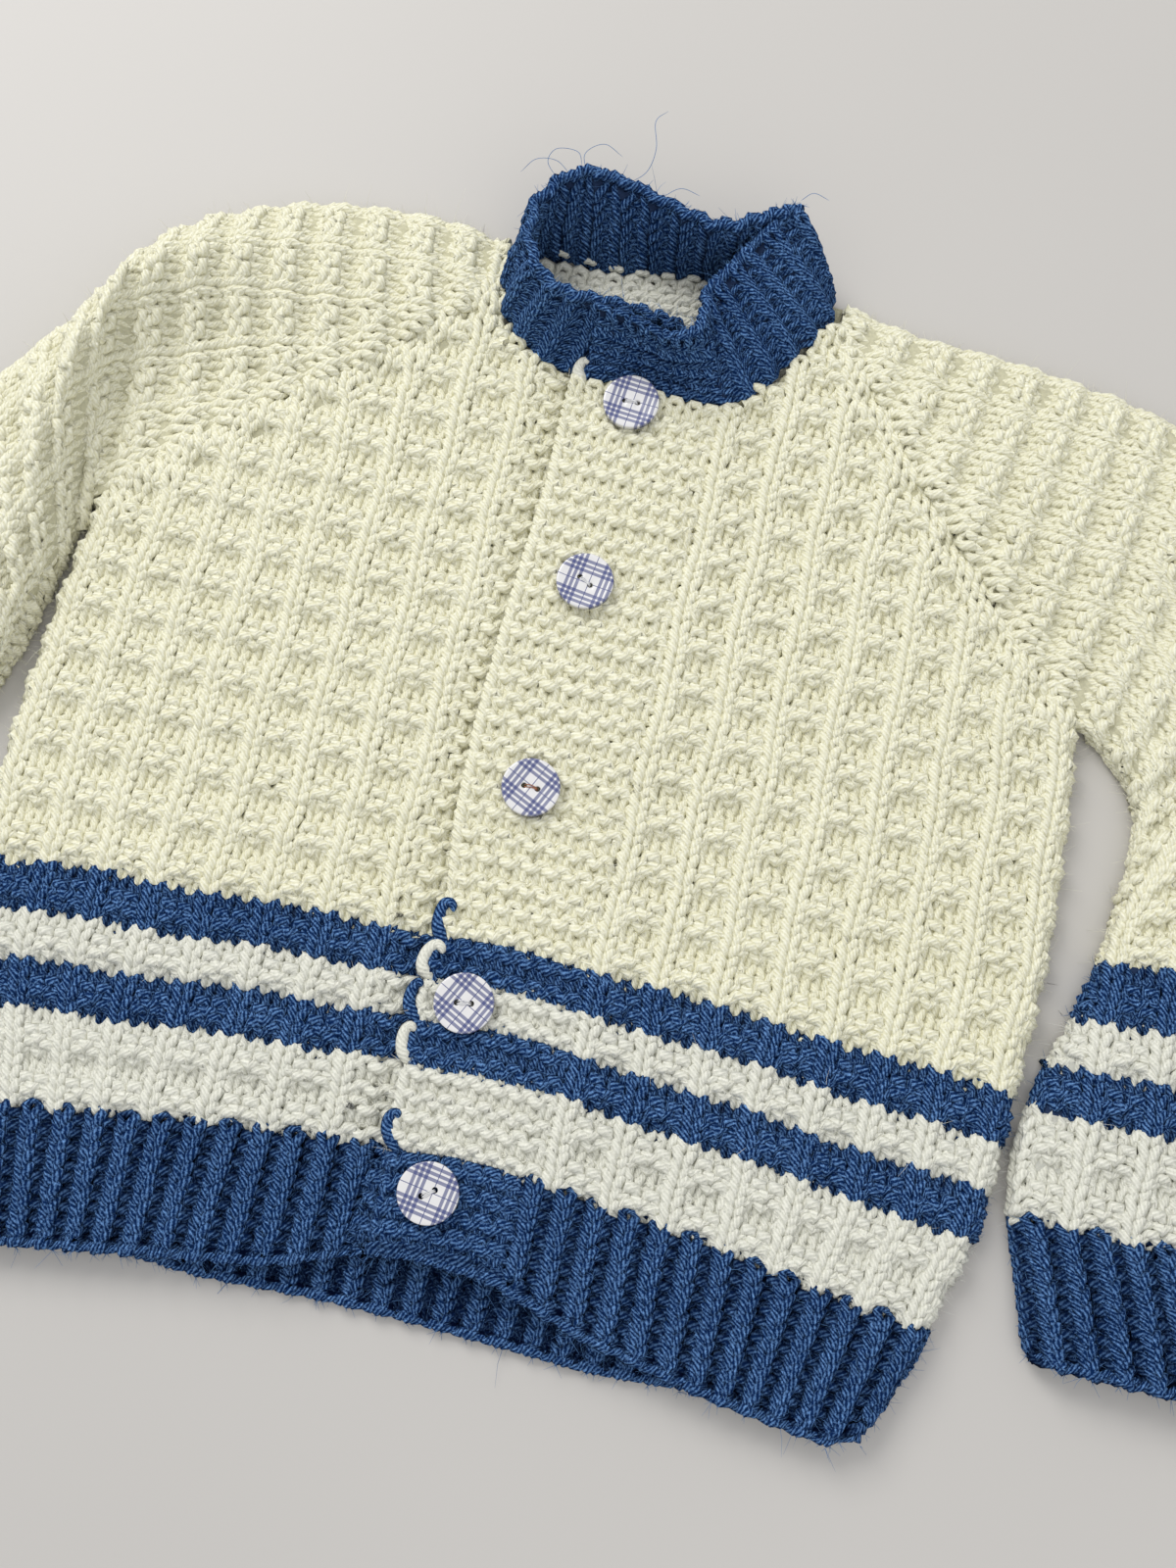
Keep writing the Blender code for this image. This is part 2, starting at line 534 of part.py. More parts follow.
def button(name, x, y, turn, tilt, raised):
    """A flat two-hole button with a raised rim, lying on the band."""
    low = front_top(np.array(x), np.array(y), 1) + GAP + raised
    r = BUTTON_RADIUS
    profile = [(0.0, 0.0), (r - 0.6, 0.0), (r, 0.5), (r, BUTTON_THICK - 0.3), (r - 0.3, BUTTON_THICK),
               (r - 0.8, BUTTON_THICK), (r - 1.4, BUTTON_THICK - BUTTON_RIM), (0.0, BUTTON_THICK - BUTTON_RIM)]
    data = bpy.data.meshes.new(name)
    data.from_pydata([(a * MM, 0.0, b * MM) for a, b in profile], [(k, k + 1) for k in range(7)], [])
    made = bpy.data.objects.new(name, data)
    CARDIGAN.objects.link(made)
    made.location = (x * MM, (y - MIDDLE_Y) * MM, float(low) * MM)
    made.rotation_euler = (np.radians(tilt), 0.0, 0.0)
    own_material(made, WHITE)
    spin = made.modifiers.new("turned", "SCREW")
    spin.steps = 24
    spin.render_steps = 24
    spin.use_merge_vertices = True
    spin.merge_threshold = 0.00001
    spin.use_normal_calculate = True
    for k, sign in enumerate((-1, 1)):
        angle = np.radians(turn)
        bpy.ops.mesh.primitive_cylinder_add(vertices=10, radius=HOLE_RADIUS * MM, depth=6 * MM)
        drill = bpy.context.object
        drill.name = f"{name}_drill_{k}"
        drill.location = (made.location.x + sign * np.cos(angle) * HOLE_SPACING / 2 * MM,
                          made.location.y + sign * np.sin(angle) * HOLE_SPACING / 2 * MM,
                          made.location.z + 1 * MM)
        for holder in list(drill.users_collection):
            holder.objects.unlink(drill)
        CUTTERS.objects.link(drill)
        drill.display_type = "WIRE"
        drill.hide_render = True
        cut = made.modifiers.new(f"hole_{k}", "BOOLEAN")
        cut.operation = "DIFFERENCE"
        cut.solver = "EXACT"
        cut.object = drill
    return made


for old in list(bpy.data.objects):
    bpy.data.objects.remove(old)

CARDIGAN = bpy.data.collections.new("baby_cardigan")
bpy.context.scene.collection.children.link(CARDIGAN)
CUTTERS = bpy.data.collections.new("cutters")
CUTTERS.hide_render = True
bpy.context.scene.collection.children.link(CUTTERS)

back_panel()
back_welt()
front("front_right", -1)
front("front_left", 1)
front_welt("welt_right", -1)
front_welt("welt_left", 1)
sleeve("sleeve_right", RIGHT_SLEEVE, -1)
sleeve("sleeve_left", LEFT_SLEEVE, 1)
cuff("cuff_right", RIGHT_SLEEVE[-1], (-216.0, 20.0, -158.0, 20.0, 10.4, 0.5, 0.8))
cuff("cuff_left", LEFT_SLEEVE[-1], (206.0, 20.0, 147.0, 20.5, 10.4, 0.5, 0.8))
neckband()
for number, row in enumerate(BUTTONS, start=1):
    button(f"button_{number}", *row)
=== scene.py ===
"""Baby's raglan cardigan in waffle stitch, lying on its back: every stitch that shows is a loop of yarn.

Sizes are millimetres of the garment unless a name says otherwise: x runs toward the wearer's left
sleeve, y from the hem up to the neck, z is height over the surface that the back lies on. A side is 1
for the wearer's left and -1 for the right.
"""

import bpy
import numpy as np
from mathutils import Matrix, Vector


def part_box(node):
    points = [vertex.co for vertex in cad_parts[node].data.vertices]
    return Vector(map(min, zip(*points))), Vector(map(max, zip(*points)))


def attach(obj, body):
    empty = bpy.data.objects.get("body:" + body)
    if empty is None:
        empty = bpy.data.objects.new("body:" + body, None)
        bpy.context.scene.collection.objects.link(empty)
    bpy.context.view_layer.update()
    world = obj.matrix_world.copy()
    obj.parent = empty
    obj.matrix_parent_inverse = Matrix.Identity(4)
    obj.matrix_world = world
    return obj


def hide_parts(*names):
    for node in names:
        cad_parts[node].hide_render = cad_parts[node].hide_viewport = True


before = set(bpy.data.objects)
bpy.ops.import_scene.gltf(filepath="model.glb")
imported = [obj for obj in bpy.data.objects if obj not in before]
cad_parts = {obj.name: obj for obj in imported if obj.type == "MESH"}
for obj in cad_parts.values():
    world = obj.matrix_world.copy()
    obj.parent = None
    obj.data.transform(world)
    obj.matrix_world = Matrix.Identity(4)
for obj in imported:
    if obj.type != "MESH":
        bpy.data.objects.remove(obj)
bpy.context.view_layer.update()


# Surface under the cardigan: one pale grey board, smooth and matt, far wider than the garment and
# level, just under the back that rests on it.
class Tree:
    """The shader tree of one material, with short ways to add nodes to it."""

    def __init__(self, name):
        self.material = bpy.data.materials.new(name)
        self.material.use_nodes = True
        self.nodes = self.material.node_tree.nodes

    def node(self, kind, settings=(), inputs=(), output=0):
        """Adds a node of this type, sets it, feeds its inputs and returns one output."""
        made = self.nodes.new(kind)
        for key, value in dict(settings).items():
            setattr(made, key, value)
        for key, value in dict(inputs).items():
            self.feed(made.inputs[key], value)
        return Value(self, made.outputs[output])

    def feed(self, socket, value):
        """Links a value into a socket, or sets the socket to a number or a colour."""
        if isinstance(value, Value):
            self.material.node_tree.links.new(value.socket, socket)
        else:
            socket.default_value = (*value, 1) if isinstance(value, tuple) else value

    def surface(self, **inputs):
        """Feeds the shader's own inputs: Base_Color stands for Base Color."""
        for key, value in inputs.items():
            self.feed(self.nodes["Principled BSDF"].inputs[key.replace("_", " ")], value)
        return self.material

    def place(self):
        """Where a point lies on its own piece, in metres."""
        return self.node("ShaderNodeTexCoord", output=3)

    def mix(self, share, first, second):
        """Colour between two colours."""
        return self.node("ShaderNodeMix", {"data_type": "RGBA"}, {0: share, 6: first, 7: second}, 2)

    def noise(self, place, scale, detail=2.0, roughness=0.5):
        """Noise from 0 to 1 at a place."""
        return self.node("ShaderNodeTexNoise", {}, {
            "Vector": place, "Scale": scale, "Detail": detail, "Roughness": roughness})

    def bump(self, height, distance, strength):
        """Normal bent by a height, over a distance in metres."""
        return self.node("ShaderNodeBump", {}, {
            "Height": height, "Distance": distance, "Strength": strength})


class Value:
    """A number carried by a socket, so that arithmetic on it adds math nodes."""

    def __init__(self, tree, socket):
        self.tree = tree
        self.socket = socket

    def math(self, operation, *others):
        return self.tree.node("ShaderNodeMath", {"operation": operation}, enumerate((self, *others)))

    def __add__(self, other):
        return self.math("ADD", other)

    def __sub__(self, other):
        return self.math("SUBTRACT", other)

    def __rsub__(self, other):
        return self.tree.node("ShaderNodeMath", {"operation": "SUBTRACT"}, {0: other, 1: self})

    def __mul__(self, other):
        return self.math("MULTIPLY", other)

    def clamp(self):
        return self.math("MAXIMUM", 0.0).math("MINIMUM", 1.0)


def board():
    """A level square with a procedural grey, 8 m across, just under the back."""
    data = bpy.data.meshes.new("board")
    data.from_pydata([(-4, -4, 0), (4, -4, 0), (4, 4, 0), (-4, 4, 0)], [], [(0, 1, 2, 3)])
    made = bpy.data.objects.new("board", data)
    bpy.context.scene.collection.objects.link(made)
    tree = Tree("board")
    grey = tree.mix(tree.noise(tree.place(), 3.0, 3.0), (0.495, 0.475, 0.443), (0.53, 0.51, 0.478))
    data.materials.append(tree.surface(Base_Color=grey, Roughness=0.55))


board()


# Fronts, the wearer's left lapped over the right: soft plied yarn in waffle stitch, each knitted in one
# with its half of the garter-stitch button band, with two blue stripes in the knitting.
SEAM = np.array([
    # y, then x on the right and on the left: the side seams, then the raglan seams
    (-12, -104, 104), (0, -114, 114), (8, -118, 118.5), (19, -122, 122.5),
    (45, -130, 131), (65, -133, 133), (112, -134, 136), (147, -133, 135),
    (174, -131, 133), (187, -122, 119.5), (200, -108.5, 107.5), (214, -92, 96),
    (228, -74, 84), (242, -60, 74), (256, -47, 62.5), (262, -44.5, 56),
    (268, -44, 51.5), (286, -44, 51.5),
])
ROW_DROP = np.array([
    # height of a row at the band, how much lower it lies at the side seam
    (-10, 14.5), (34, 14.5), (53, 11), (65, 10), (85, 6), (120, 1), (150, 0),
    (300, 0),
])
BAND_EDGE = np.array([
    # y, x of the free edge of the upper band
    (-10, -11), (10, -11.5), (34, -13), (60, -14.6), (75, -14.6), (97, -14.2),
    (115, -16.6), (140, -17.6), (165, -17.2), (185, -16.4), (208, -15.2), (228, -16.4),
    (240, -16.6),
])
NECK = np.array([
    # y, then how far out a row begins beside the neck, on the right and on the left
    (239.2, 17, 20), (240.4, 21, 20.5), (241.3, 27.2, 28), (247.8, 36.4, 35.6),
    (256.6, 42.2, 41), (265, 43.5, 46.2),
])
NECK_GROUND = np.array([
    # the same for the cloth beneath the yarn
    (239.2, -24, -14), (240, 20, 15), (241.3, 27.2, 28), (247.8, 36.4, 35.6),
    (256.6, 42.6, 41), (265, 44, 46.2),
])
ARMPIT = 174.0
ACROSS = 136.0            # from the button line to the side seam, measured along a row
FITTED = 60.0             # from here outward a row is made to end at the side seam
SUNK = 1.7                # how deep the middle of the yarn lies under the face of the cloth
BORDER = 4.8              # width of a plain stitch along the raglan
BACK_TOP = 3.3            # height of the back, which the fronts and their welts lie on
SEAM_TURN = 2.5           # radius over which a front turns down at its side seam
BAND_TURN = 2.0           # and over which the band turns down at its free edge
NECKLINE = 239.0          # height of the top of the band
WHITE, BLUE, CREAM = 0, 1, 2


def read(table, at, side=-1):
    """Straight-line reading of a table's column for a side, or of its only one."""
    return np.interp(at, table[:, 0], table[:, 1 if side < 0 else 2])


def blend(table, at):
    """Smooth reading of every column of a table by row number (Catmull-Rom)."""
    at = np.clip(np.asarray(at, float), 0.0, len(table) - 1.0)
    start = np.minimum(at.astype(int), len(table) - 2)
    t = (at - start)[..., None]
    padded = np.vstack([2 * table[0] - table[1], table, 2 * table[-1] - table[-2]])
    a, b, c, d = (padded[start + k] for k in range(4))
    return 0.5 * (2 * b + (c - a) * t + (2 * a - 5 * b + 4 * c - d) * t**2 + (3 * b - a - 3 * c + d) * t**3)


def ease(value):
    """0 below 0, 1 above 1, a smooth S between."""
    value = np.clip(value, 0.0, 1.0)
    return value * value * (3 - 2 * value)


def unit(vectors):
    """The same directions, each 1 long."""
    return vectors / np.maximum(np.linalg.norm(vectors, axis=-1, keepdims=True), 1e-9)


def run_of(line):
    """Distance along a line at each of its points."""
    return np.append(0, np.cumsum(np.linalg.norm(np.diff(line, axis=0), axis=1)))


def between(places):
    """Middle of each space between neighbours."""
    return (places[:-1] + places[1:]) / 2


def row_y(x, row):
    """Height at x of the row that crosses the band at the given height."""
    reach = np.clip(np.abs(x - 5.0) / 120.0, 0.0, 1.2)
    return row - read(ROW_DROP, row) * reach**1.25


def side_seam(y, side):
    """How far out the side seam lies, and above the armpit how far it lies there."""
    return np.abs(read(SEAM, np.minimum(y, ARMPIT), side))


def front_height(x, y, side):
    """Face of a front over the board: level, stepped at the band, rounded down to the side seam.

    The left band lies 3.6 over the right one, and beside the bands both fronts are 8.7 high.
    """
    at_seam, rounding = 6.5, 14.0
    if side > 0:
        level = 9.9 - 1.2 * ease((x - 27.5) / 16.0)
    else:
        level = 6.3 + 2.4 * ease((-15.5 - x) / 12.0)
    inset = np.clip((side_seam(y, side) - np.abs(x)) / rounding, 0, 1)
    return at_seam + (level - at_seam) * np.sqrt(1 - (1 - inset) ** 2)


def turned(x, edge, radius, side):
    """Cloth turned down round an edge: its place across, and how far it has gone down.

    It leaves the flat a radius before the edge, so that it never lies outside the edge.
    """
    start = edge - side * radius
    past = np.maximum(side * (x - start), 0.0)
    angle = np.minimum(past / radius, np.pi / 2)
    down = radius * (1 - np.cos(angle)) + np.maximum(past - radius * np.pi / 2, 0.0)
    return np.where(past > 0, start + side * radius * np.sin(angle), x), down


def fitted(u, edge):
    """How far the outer part of a row moves so that it ends at the side seam."""
    return (edge - ACROSS) * ease((u - FITTED) / (ACROSS - FITTED))


def front_place(side, relief):
    """Place of a stitch across (u) and up (row height at the band) on a front.

    Past the side seam, and past the free edge of the band, the cloth turns down over its edge. The
    rows of the band are all the same height, so they lie a little off the rows of the waffle.
    """
    heights = FRONT_HEIGHTS[0]

    def place(u, v):
        off = np.interp(v, heights, BAND_HEIGHTS[0]) - np.clip(v, heights[0], heights[-1])
        off = off * ease((FRONT_START + 3.0 - u) / 6.0)
        x = side * u
        for _ in range(3):
            y = row_y(x, v + off)
            edge = side_seam(y, side)
            x = side * (u + fitted(u, edge))
        x, down = turned(x, side * edge, SEAM_TURN, side)
        z = front_height(x, y, side) - down
        if side > 0:
            x, down = turned(x, read(BAND_EDGE, y), BAND_TURN, -1)
            z = z - down
        return np.stack([x, y, z + relief(u, v)], axis=-1)

    return place


def raglan_u(y, side):
    """Where the side or raglan seam lies, measured across the front."""
    x = np.abs(read(SEAM, y, side))
    u = x
    for _ in range(5):
        u = x - fitted(u, side_seam(y, side))
    return u


def with_normal(place, u, v, side):
    """Points and outward normals of a surface, the normals from small steps either way."""
    step = 0.05
    middle = place(u, v)
    return middle, unit(np.cross(place(u + step, v) - middle, place(u, v + step) - middle) * side)


def rings(path, out, side, thick, sides):
    """Points round each point of a path, or of many paths: a ring at a thickness in two directions."""
    turn = (2 * np.pi * np.arange(sides) / sides)[:, None]
    ring = out[..., None, :] * np.cos(turn) + side[..., None, :] * np.sin(turn)
    return (path[..., None, :] + ring * thick[:, None, None]).reshape(-1, 3)


def tube(path, out, side, thick, sides, start=0.0):
    """Points, faces and map of a tube of rings round a path.

    The map runs in millimetres along the tube, from the start given, and from 0 to 1 round it.
    """
    length = start + run_of(path)
    i, j = np.meshgrid(np.arange(len(path) - 1), np.arange(sides), indexing="ij")
    corner, beside = i * sides + j, i * sides + (j + 1) % sides
    faces = np.stack([beside, beside + sides, corner + sides, corner], axis=-1).reshape(-1, 4)
    u = np.stack([length[i], length[i + 1], length[i + 1], length[i]], axis=-1)
    v = np.stack([j + 1, j + 1, j, j], axis=-1) / sides
    return rings(path, out, side, thick, sides), faces, np.stack([u, v], axis=-1).reshape(-1, 4, 2)


def joined(tubes, colours):
    """Tubes put together as one mesh's points, faces, map and colours, one colour for each or for all."""
    starts = np.cumsum([0] + [len(points) for points, _, _ in tubes])
    faces = [faces + start for (_, faces, _), start in zip(tubes, starts)]
    colours = np.broadcast_to(colours, len(tubes))
    return (np.concatenate([points for points, _, _ in tubes]), np.concatenate(faces),
            np.concatenate([uv for _, _, uv in tubes]), np.repeat(colours, [len(part) for part in faces]))


ROOTS = []                # places on the yarn that loose fibres grow from


def loops(rows, place, relief, side, seed, radius=1.27, deep=0.8, samples=9, sunk=SUNK, lean=0.24):
    """Yarn of several rows of knitting, one tube along each row.

    A row is the places where its stitches meet, its lower edge and height, its colour, and whether
    each stitch is knit (1) or purl (-1), in this row and in the next one up.
    Along a stitch of width w and height h, with t from 0 to 1: across = w (t + lean sin 4 pi t),
    up = h (1/2 - 0.93 cos 2 pi t). A knitted stitch brings its legs to the face and leaves its head
    and feet behind; a purled one does the reverse. Each point also gets an amount of painted shade,
    0 to 1, on the side of the cloth that it faces: more where the relief given sinks and where the
    yarn goes behind. Yarn that reaches the board lies on it. Each stitch lies about 0.2 out of place,
    and the rows wander by 0.45 across and 0.3 up.
    """
    rng = np.random.default_rng(seed)
    sides = 5
    facing = np.where(np.cos(2 * np.pi * np.arange(sides) / sides) >= 0, 1.0, -1.0)
    tubes, painted_pit_shades = [], []
    for edges, low, tall, colour, kind, above in rows:
        count = len(edges) - 1
        t = np.arange(samples * count + 1) / samples
        index = np.minimum(t.astype(int), count - 1)
        phase = t - index
        padded = np.sign(np.concatenate([kind[:1], kind, kind[-1:]]))
        feet = between(padded)
        wave = np.cos(4 * np.pi * phase)
        bend = np.maximum(wave, 0.0)
        head = bend * ((phase > 0.25) & (phase < 0.75))
        nearest = np.where(phase < 0.5, index, index + 1)
        jitter = rng.normal(0, 1, (4, count + 1))
        sway, lift = (np.interp(t, np.arange(count + 1) + 0.5, jitter[k]) for k in (0, 1))
        u = edges[index] + np.diff(edges)[index] * (phase + lean * np.sin(4 * np.pi * phase)) + 0.22 * sway
        v = low + tall * (0.5 - 0.93 * np.cos(2 * np.pi * phase)) + 0.2 * lift
        u, v = (u + 0.45 * np.sin(v / 7.1 + 2.0 * np.sin(u / 17.0 + seed)),
                v + 0.3 * np.sin(u / 8.3 + 1.7 * np.sin(v / 23.0 + seed)))
        z = np.maximum(-wave, 0.0) * kind[index] - (bend - head) * feet[nearest]
        z = z - head * np.sign(above[index])
        depth = deep * z * (1 + 0.15 * jitter[2][index]) + 0.12 * jitter[3][index]
        middle, normal = with_normal(place, u, v, side)
        path = middle + normal * (depth - sunk)[:, None]
        thickest = 1.3 * radius
        path[:, 2] = np.maximum(path[:, 2], thickest)
        run = unit(np.gradient(path, axis=0))
        across = unit(np.cross(run, normal))
        slow = 0.05 * np.sin(2 * np.pi * (t * 0.37 + rng.random()))
        thick = radius * (1 + 0.12 * (kind[index] < 0) + slow + 0.14 * z)
        tubes.append(tube(path, np.cross(across, run), across, thick, sides, rng.random() * 40.0))
        # painted shade of the hollows and of yarn going behind, on the side of the tube that faces out
        painted_pit_shade = (-relief(u, v) / 1.5 - 0.3 * z)[:, None] * facing
        painted_pit_shades.append(np.clip(painted_pit_shade, 0.0, 1.0).ravel())
        ROOTS.append((path[::3], normal[::3], colour))
    return *joined(tubes, [row[3] for row in rows]), np.concatenate(painted_pit_shades)


def piece(name, slot, materials, points, faces, uv=None, colours=None, painted_pit_shades=None):
    """Object of the cardigan from millimetre points and its faces, smoothly shaded."""
    data = bpy.data.meshes.new(name)
    metres = (points - (0.0, 120.0, 0.0)) * 0.001
    data.from_pydata(metres.tolist(), [], faces.tolist(), shade_flat=False)
    for material in materials:
        data.materials.append(material)
    if colours is not None:
        data.polygons.foreach_set("material_index", np.asarray(colours, np.int32))
    if uv is not None:
        data.uv_layers.new(name="yarn").data.foreach_set("uv", uv.astype(np.float32).ravel())
    # how much painted shade each point has
    if painted_pit_shades is not None:
        data.attributes.new("painted_pit_shade", "FLOAT", "POINT").data.foreach_set("value", painted_pit_shades.astype(np.float32))
    data.update()
    data.validate()
    made = bpy.data.objects.new(name, data)
    bpy.context.scene.collection.objects.link(made)
    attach(made, "root")
    return made


def shell(name, slot, materials, outer, inner, side=1, colours=0):
    """One closed body between two grids of points (rows, columns, 3), rimmed round every edge.

    Each strip between two rows of points may have its own colour. On side -1 the columns run inward.
    """
    rows, columns = outer.shape[:2]
    a = np.arange(rows - 1)[:, None] * columns + np.arange(columns - 1)
    top = np.stack([a, a + 1, a + columns + 1, a + columns], axis=-1).reshape(-1, 4)
    count = rows * columns
    down = np.arange(rows) * columns
    along = np.arange(columns)
    loop = np.concatenate([along, down[1:] + columns - 1, down[-1] + along[-2::-1], down[-2:0:-1]])
    after = np.roll(loop, -1)
    rim = np.stack([after, loop, loop + count, after + count], axis=-1)
    colours = np.broadcast_to(colours, rows - 1)
    strips = np.repeat(colours, columns - 1)
    points = np.concatenate([grid[:, ::side].reshape(-1, 3) for grid in (outer, inner)])
    faces = np.concatenate([top, rim, top[:, ::-1] + count])
    colours = np.concatenate([strips, colours[np.minimum(loop // columns, rows - 2)], strips])
    return piece(name, slot, materials, points, faces, colours=colours)


def lowered(grid, by):
    """A grid of points moved down."""
    return grid - (by + 0 * grid[..., 0])[..., None] * (0.0, 0.0, 1.0)


def ground(name, colour):
    """The layers of yarn that lie under the loops of the face: dull and soft, their colour a little darker as
    painted shade down among the loops.
    """
    tree = Tree(name)
    fibre = tree.noise(tree.place(), 900.0, 3.0, 0.6)
    shades = tree.mix(fibre, tuple(0.55 * part for part in colour), colour)
    return tree.surface(Base_Color=shades, Roughness=0.95, Normal=tree.bump(fibre, 0.0006, 0.8))


def yarn(name, light, dark, painted_pit_shade, bias, pit_shade_strength, sheen, shine):
    """Soft plied yarn: three strands twisted together, each a bundle of fine fibres.

    Its colour is painted darker as shade down its flanks, where it lies against the next one, and in
    the hollows of the stitches. Between its dark and light tones it follows the strands, with painted
    shade in the grooves between them and painted highlight on their crests, while the fibres and fine
    fuzz add random tone.
    """
    tree = Tree(name)
    uv = tree.node("ShaderNodeUVMap", {"uv_map": "yarn"})
    along, around = (tree.node("ShaderNodeSeparateXYZ", {}, {0: uv}, axis) for axis in (0, 1))
    phase = around * 6.0 + along * 0.75
    strand = (phase * np.pi * 2).math("SINE") * 0.5 + 0.5
    fibre_place = {0: along * 0.5 - around * 1.6, 1: phase * 1.6, 2: 0.0}
    fibre = tree.noise(tree.node("ShaderNodeCombineXYZ", {}, fibre_place), 2.2, 3.0, 0.65)
    cloud = tree.noise(tree.place(), 45.0)
    fuzz = tree.noise(tree.place(), 1400.0, 2.0, 0.7)
    # painted shade in the grooves between the strands and painted highlight on their crests; the fibres and
    # fuzz add random tone
    shade = (strand * 0.55 + fibre * 1.2 + (fuzz - 0.5) * 1.8 + cloud * 0.2 - bias).clamp()
    painted_pit_shades = tree.node("ShaderNodeAttribute", {"attribute_name": "painted_pit_shade"}, output=2)
    # painted shade: darker down the flanks, where the yarn lies against the next, and in the hollows
    flank = (around * np.pi * 2).math("COSINE").math("ABSOLUTE")
    painted_shade = (0.45 - flank * 0.6 + fibre * 0.25 + painted_pit_shades * pit_shade_strength).clamp()
    normal = tree.bump(strand * 0.5 + fibre * 0.6 + fuzz * 0.35, 0.0005, 0.6)
    return tree.surface(Base_Color=tree.mix(painted_shade, tree.mix(shade, dark, light), painted_pit_shade), Roughness=0.9,
                        Normal=normal, Sheen_Weight=sheen, Sheen_Roughness=0.5, Specular_IOR_Level=shine)


YARNS = [
    # light and dark tone, colour of the painted shade in hollows, bias to the dark, strength of that
    # painted shade, sheen and shine
    yarn("white_yarn", (0.84, 0.83, 0.73), (0.60, 0.60, 0.51), (0.50, 0.50, 0.43), 0.47, 0.3, 0.15, 0.15),
    yarn("blue_yarn", (0.205, 0.41, 0.77), (0.003, 0.019, 0.08), (0.0, 0.002, 0.014), 0.82, 0.85, 0.0, 0.04),
    yarn("cream_yarn", (0.90, 0.885, 0.73), (0.68, 0.655, 0.45), (0.64, 0.61, 0.41), 0.47, 0.35, 0.15, 0.15),
]
# Under-layers, each given a darker colour than its yarn as painted shade.
GROUNDS = [
    ground("white_ground", (0.62, 0.62, 0.55)),
    ground("blue_ground", (0.006, 0.026, 0.085)),
    ground("cream_ground", (0.66, 0.635, 0.44)),
]


def row_heights(marks, top, four, steps=(0.2, 0.3, 0.3, 0.2)):
    """Where each row begins, and its colour: 8 white rows, 4 blue, 4 white, 4 blue, cream to the top.

    The two purled rows of every four stand up and take 0.3 of the height each, the knitted ones 0.2.
    """
    heights = []
    for start, stop, fours in zip(marks[:-1], marks[1:], (2, 1, 1, 1)):
        shares = np.append(0, np.cumsum(np.tile(steps, fours) / fours)[:-1])
        heights.append(start + (stop - start) * shares)
    count = int((top - marks[-1]) / four) + 1
    above = marks[-1] + four * np.append(0, np.cumsum(np.tile(steps, count)))
    heights = np.concatenate(heights + [above[above < top]])
    colours = np.full(len(heights), CREAM)
    colours[:20] = np.repeat([WHITE, WHITE, BLUE, WHITE, BLUE], 4)
    return heights, colours


FRONT_START = 25.3        # where the waffle begins beside the band
REPEAT = 14.65            # one knit column and two stitches
SINGLE = 5.15             # the knit column's width
FRONT_MARKS = (34.0, 54.5, 65.5, 75.5, 86.0)
FRONT_FOUR = 11.8         # height of four rows
FRONT_HEIGHTS = row_heights(FRONT_MARKS, 268.0, FRONT_FOUR)
BAND_HEIGHTS = row_heights(FRONT_MARKS, 268.0, FRONT_FOUR, (0.25,) * 4)


def waffle_kind(row, single):
    """Knit columns one stitch wide with two stitches between, purled on two rows of every four."""
    return np.where(single, 1.0, -1.0 if row % 4 in (1, 2) else 0.15)


def waffle(u, v, start, heights, four):
    """How far a place sinks across a square and up it, each 0 to 1, and the number of its row."""
    turn = ((u - start) % REPEAT - SINGLE) / (REPEAT - SINGLE)
    square = np.where(turn > 0, np.sin(np.pi * np.clip(turn, 0, 1)) ** 0.7, 0.0)
    row = np.interp(v, np.append(heights, heights[-1] + four / 4), np.arange(len(heights) + 1))
    return square, (0.5 + 0.5 * np.cos(2 * np.pi * (row - 4.0) / 4.0)) ** 1.5, row


def front_relief(plain):
    """Depth of the waffle: the squares sink between the knit columns, deepest in the knit rows.

    The columns sink with them by the share plain, where the cloth is less stretched across.
    """

    def relief(u, v):
        square, wave, row = waffle(u, v, FRONT_START, FRONT_HEIGHTS[0], FRONT_FOUR)
        garter = 0.35 * np.cos(np.pi * (row - 1.0))
        return np.where(u > FRONT_START, -2.1 * (plain + (1 - plain) * square) * wave, garter)

    return relief


def front_kind(edges, number, border):
    """Knit (1) or purl (-1) for each stitch of a front's row: garter band, waffle, plain border."""
    middle = between(edges)
    kind = waffle_kind(number, (middle - FRONT_START) % REPEAT < SINGLE)
    kind = np.where(middle < FRONT_START, -1.0 if number % 2 else 0.1, kind)
    if border:
        kind[-2:] = 1.0
    return kind


def front_rows(side):
    """Rows of a front, from the welt to the neck."""
    heights, colours = FRONT_HEIGHTS
    waled = (FRONT_START + REPEAT * np.arange(9)[:, None] + (0.0, SINGLE, (SINGLE + REPEAT) / 2)).ravel()
    rows = []
    talls = np.diff(heights, append=heights[-1] + FRONT_FOUR / 4)
    for number, (low, tall) in enumerate(zip(heights, talls)):
        y = low + tall / 2
        band = np.linspace(8.0, FRONT_START, 4)
        if side > 0:
            band = np.linspace(read(BAND_EDGE, y) - 0.4, FRONT_START, 9)
        border = y > ARMPIT
        last, kept_free = (raglan_u(y, side) + 0.5, 12.5) if border else (ACROSS + 4.5, 2.0)
        edges = np.concatenate([band[:-1], waled])
        edges = edges[edges < last - kept_free]
        edges = np.append(edges, last - BORDER * np.array([2, 1, 0]) if border else last)
        if y > NECKLINE - 1.5:
            under_neckband = 2.0 if side > 0 else 4.5
            edges = edges[edges > read(NECK, y + 1.0, side) - under_neckband]
        if len(edges) > 1:
            kind, above = (front_kind(edges, k, border) for k in (number, number + 1))
            rows.append((edges, low, tall, colours[number], kind, above))
    return rows


def striped(heights, marks):
    """Colour of each strip between two heights, where the welt, the stripes and the plain part begin."""
    colours = np.array([WHITE, WHITE, BLUE, WHITE, BLUE, CREAM])
    return colours[np.searchsorted(marks, between(heights))]


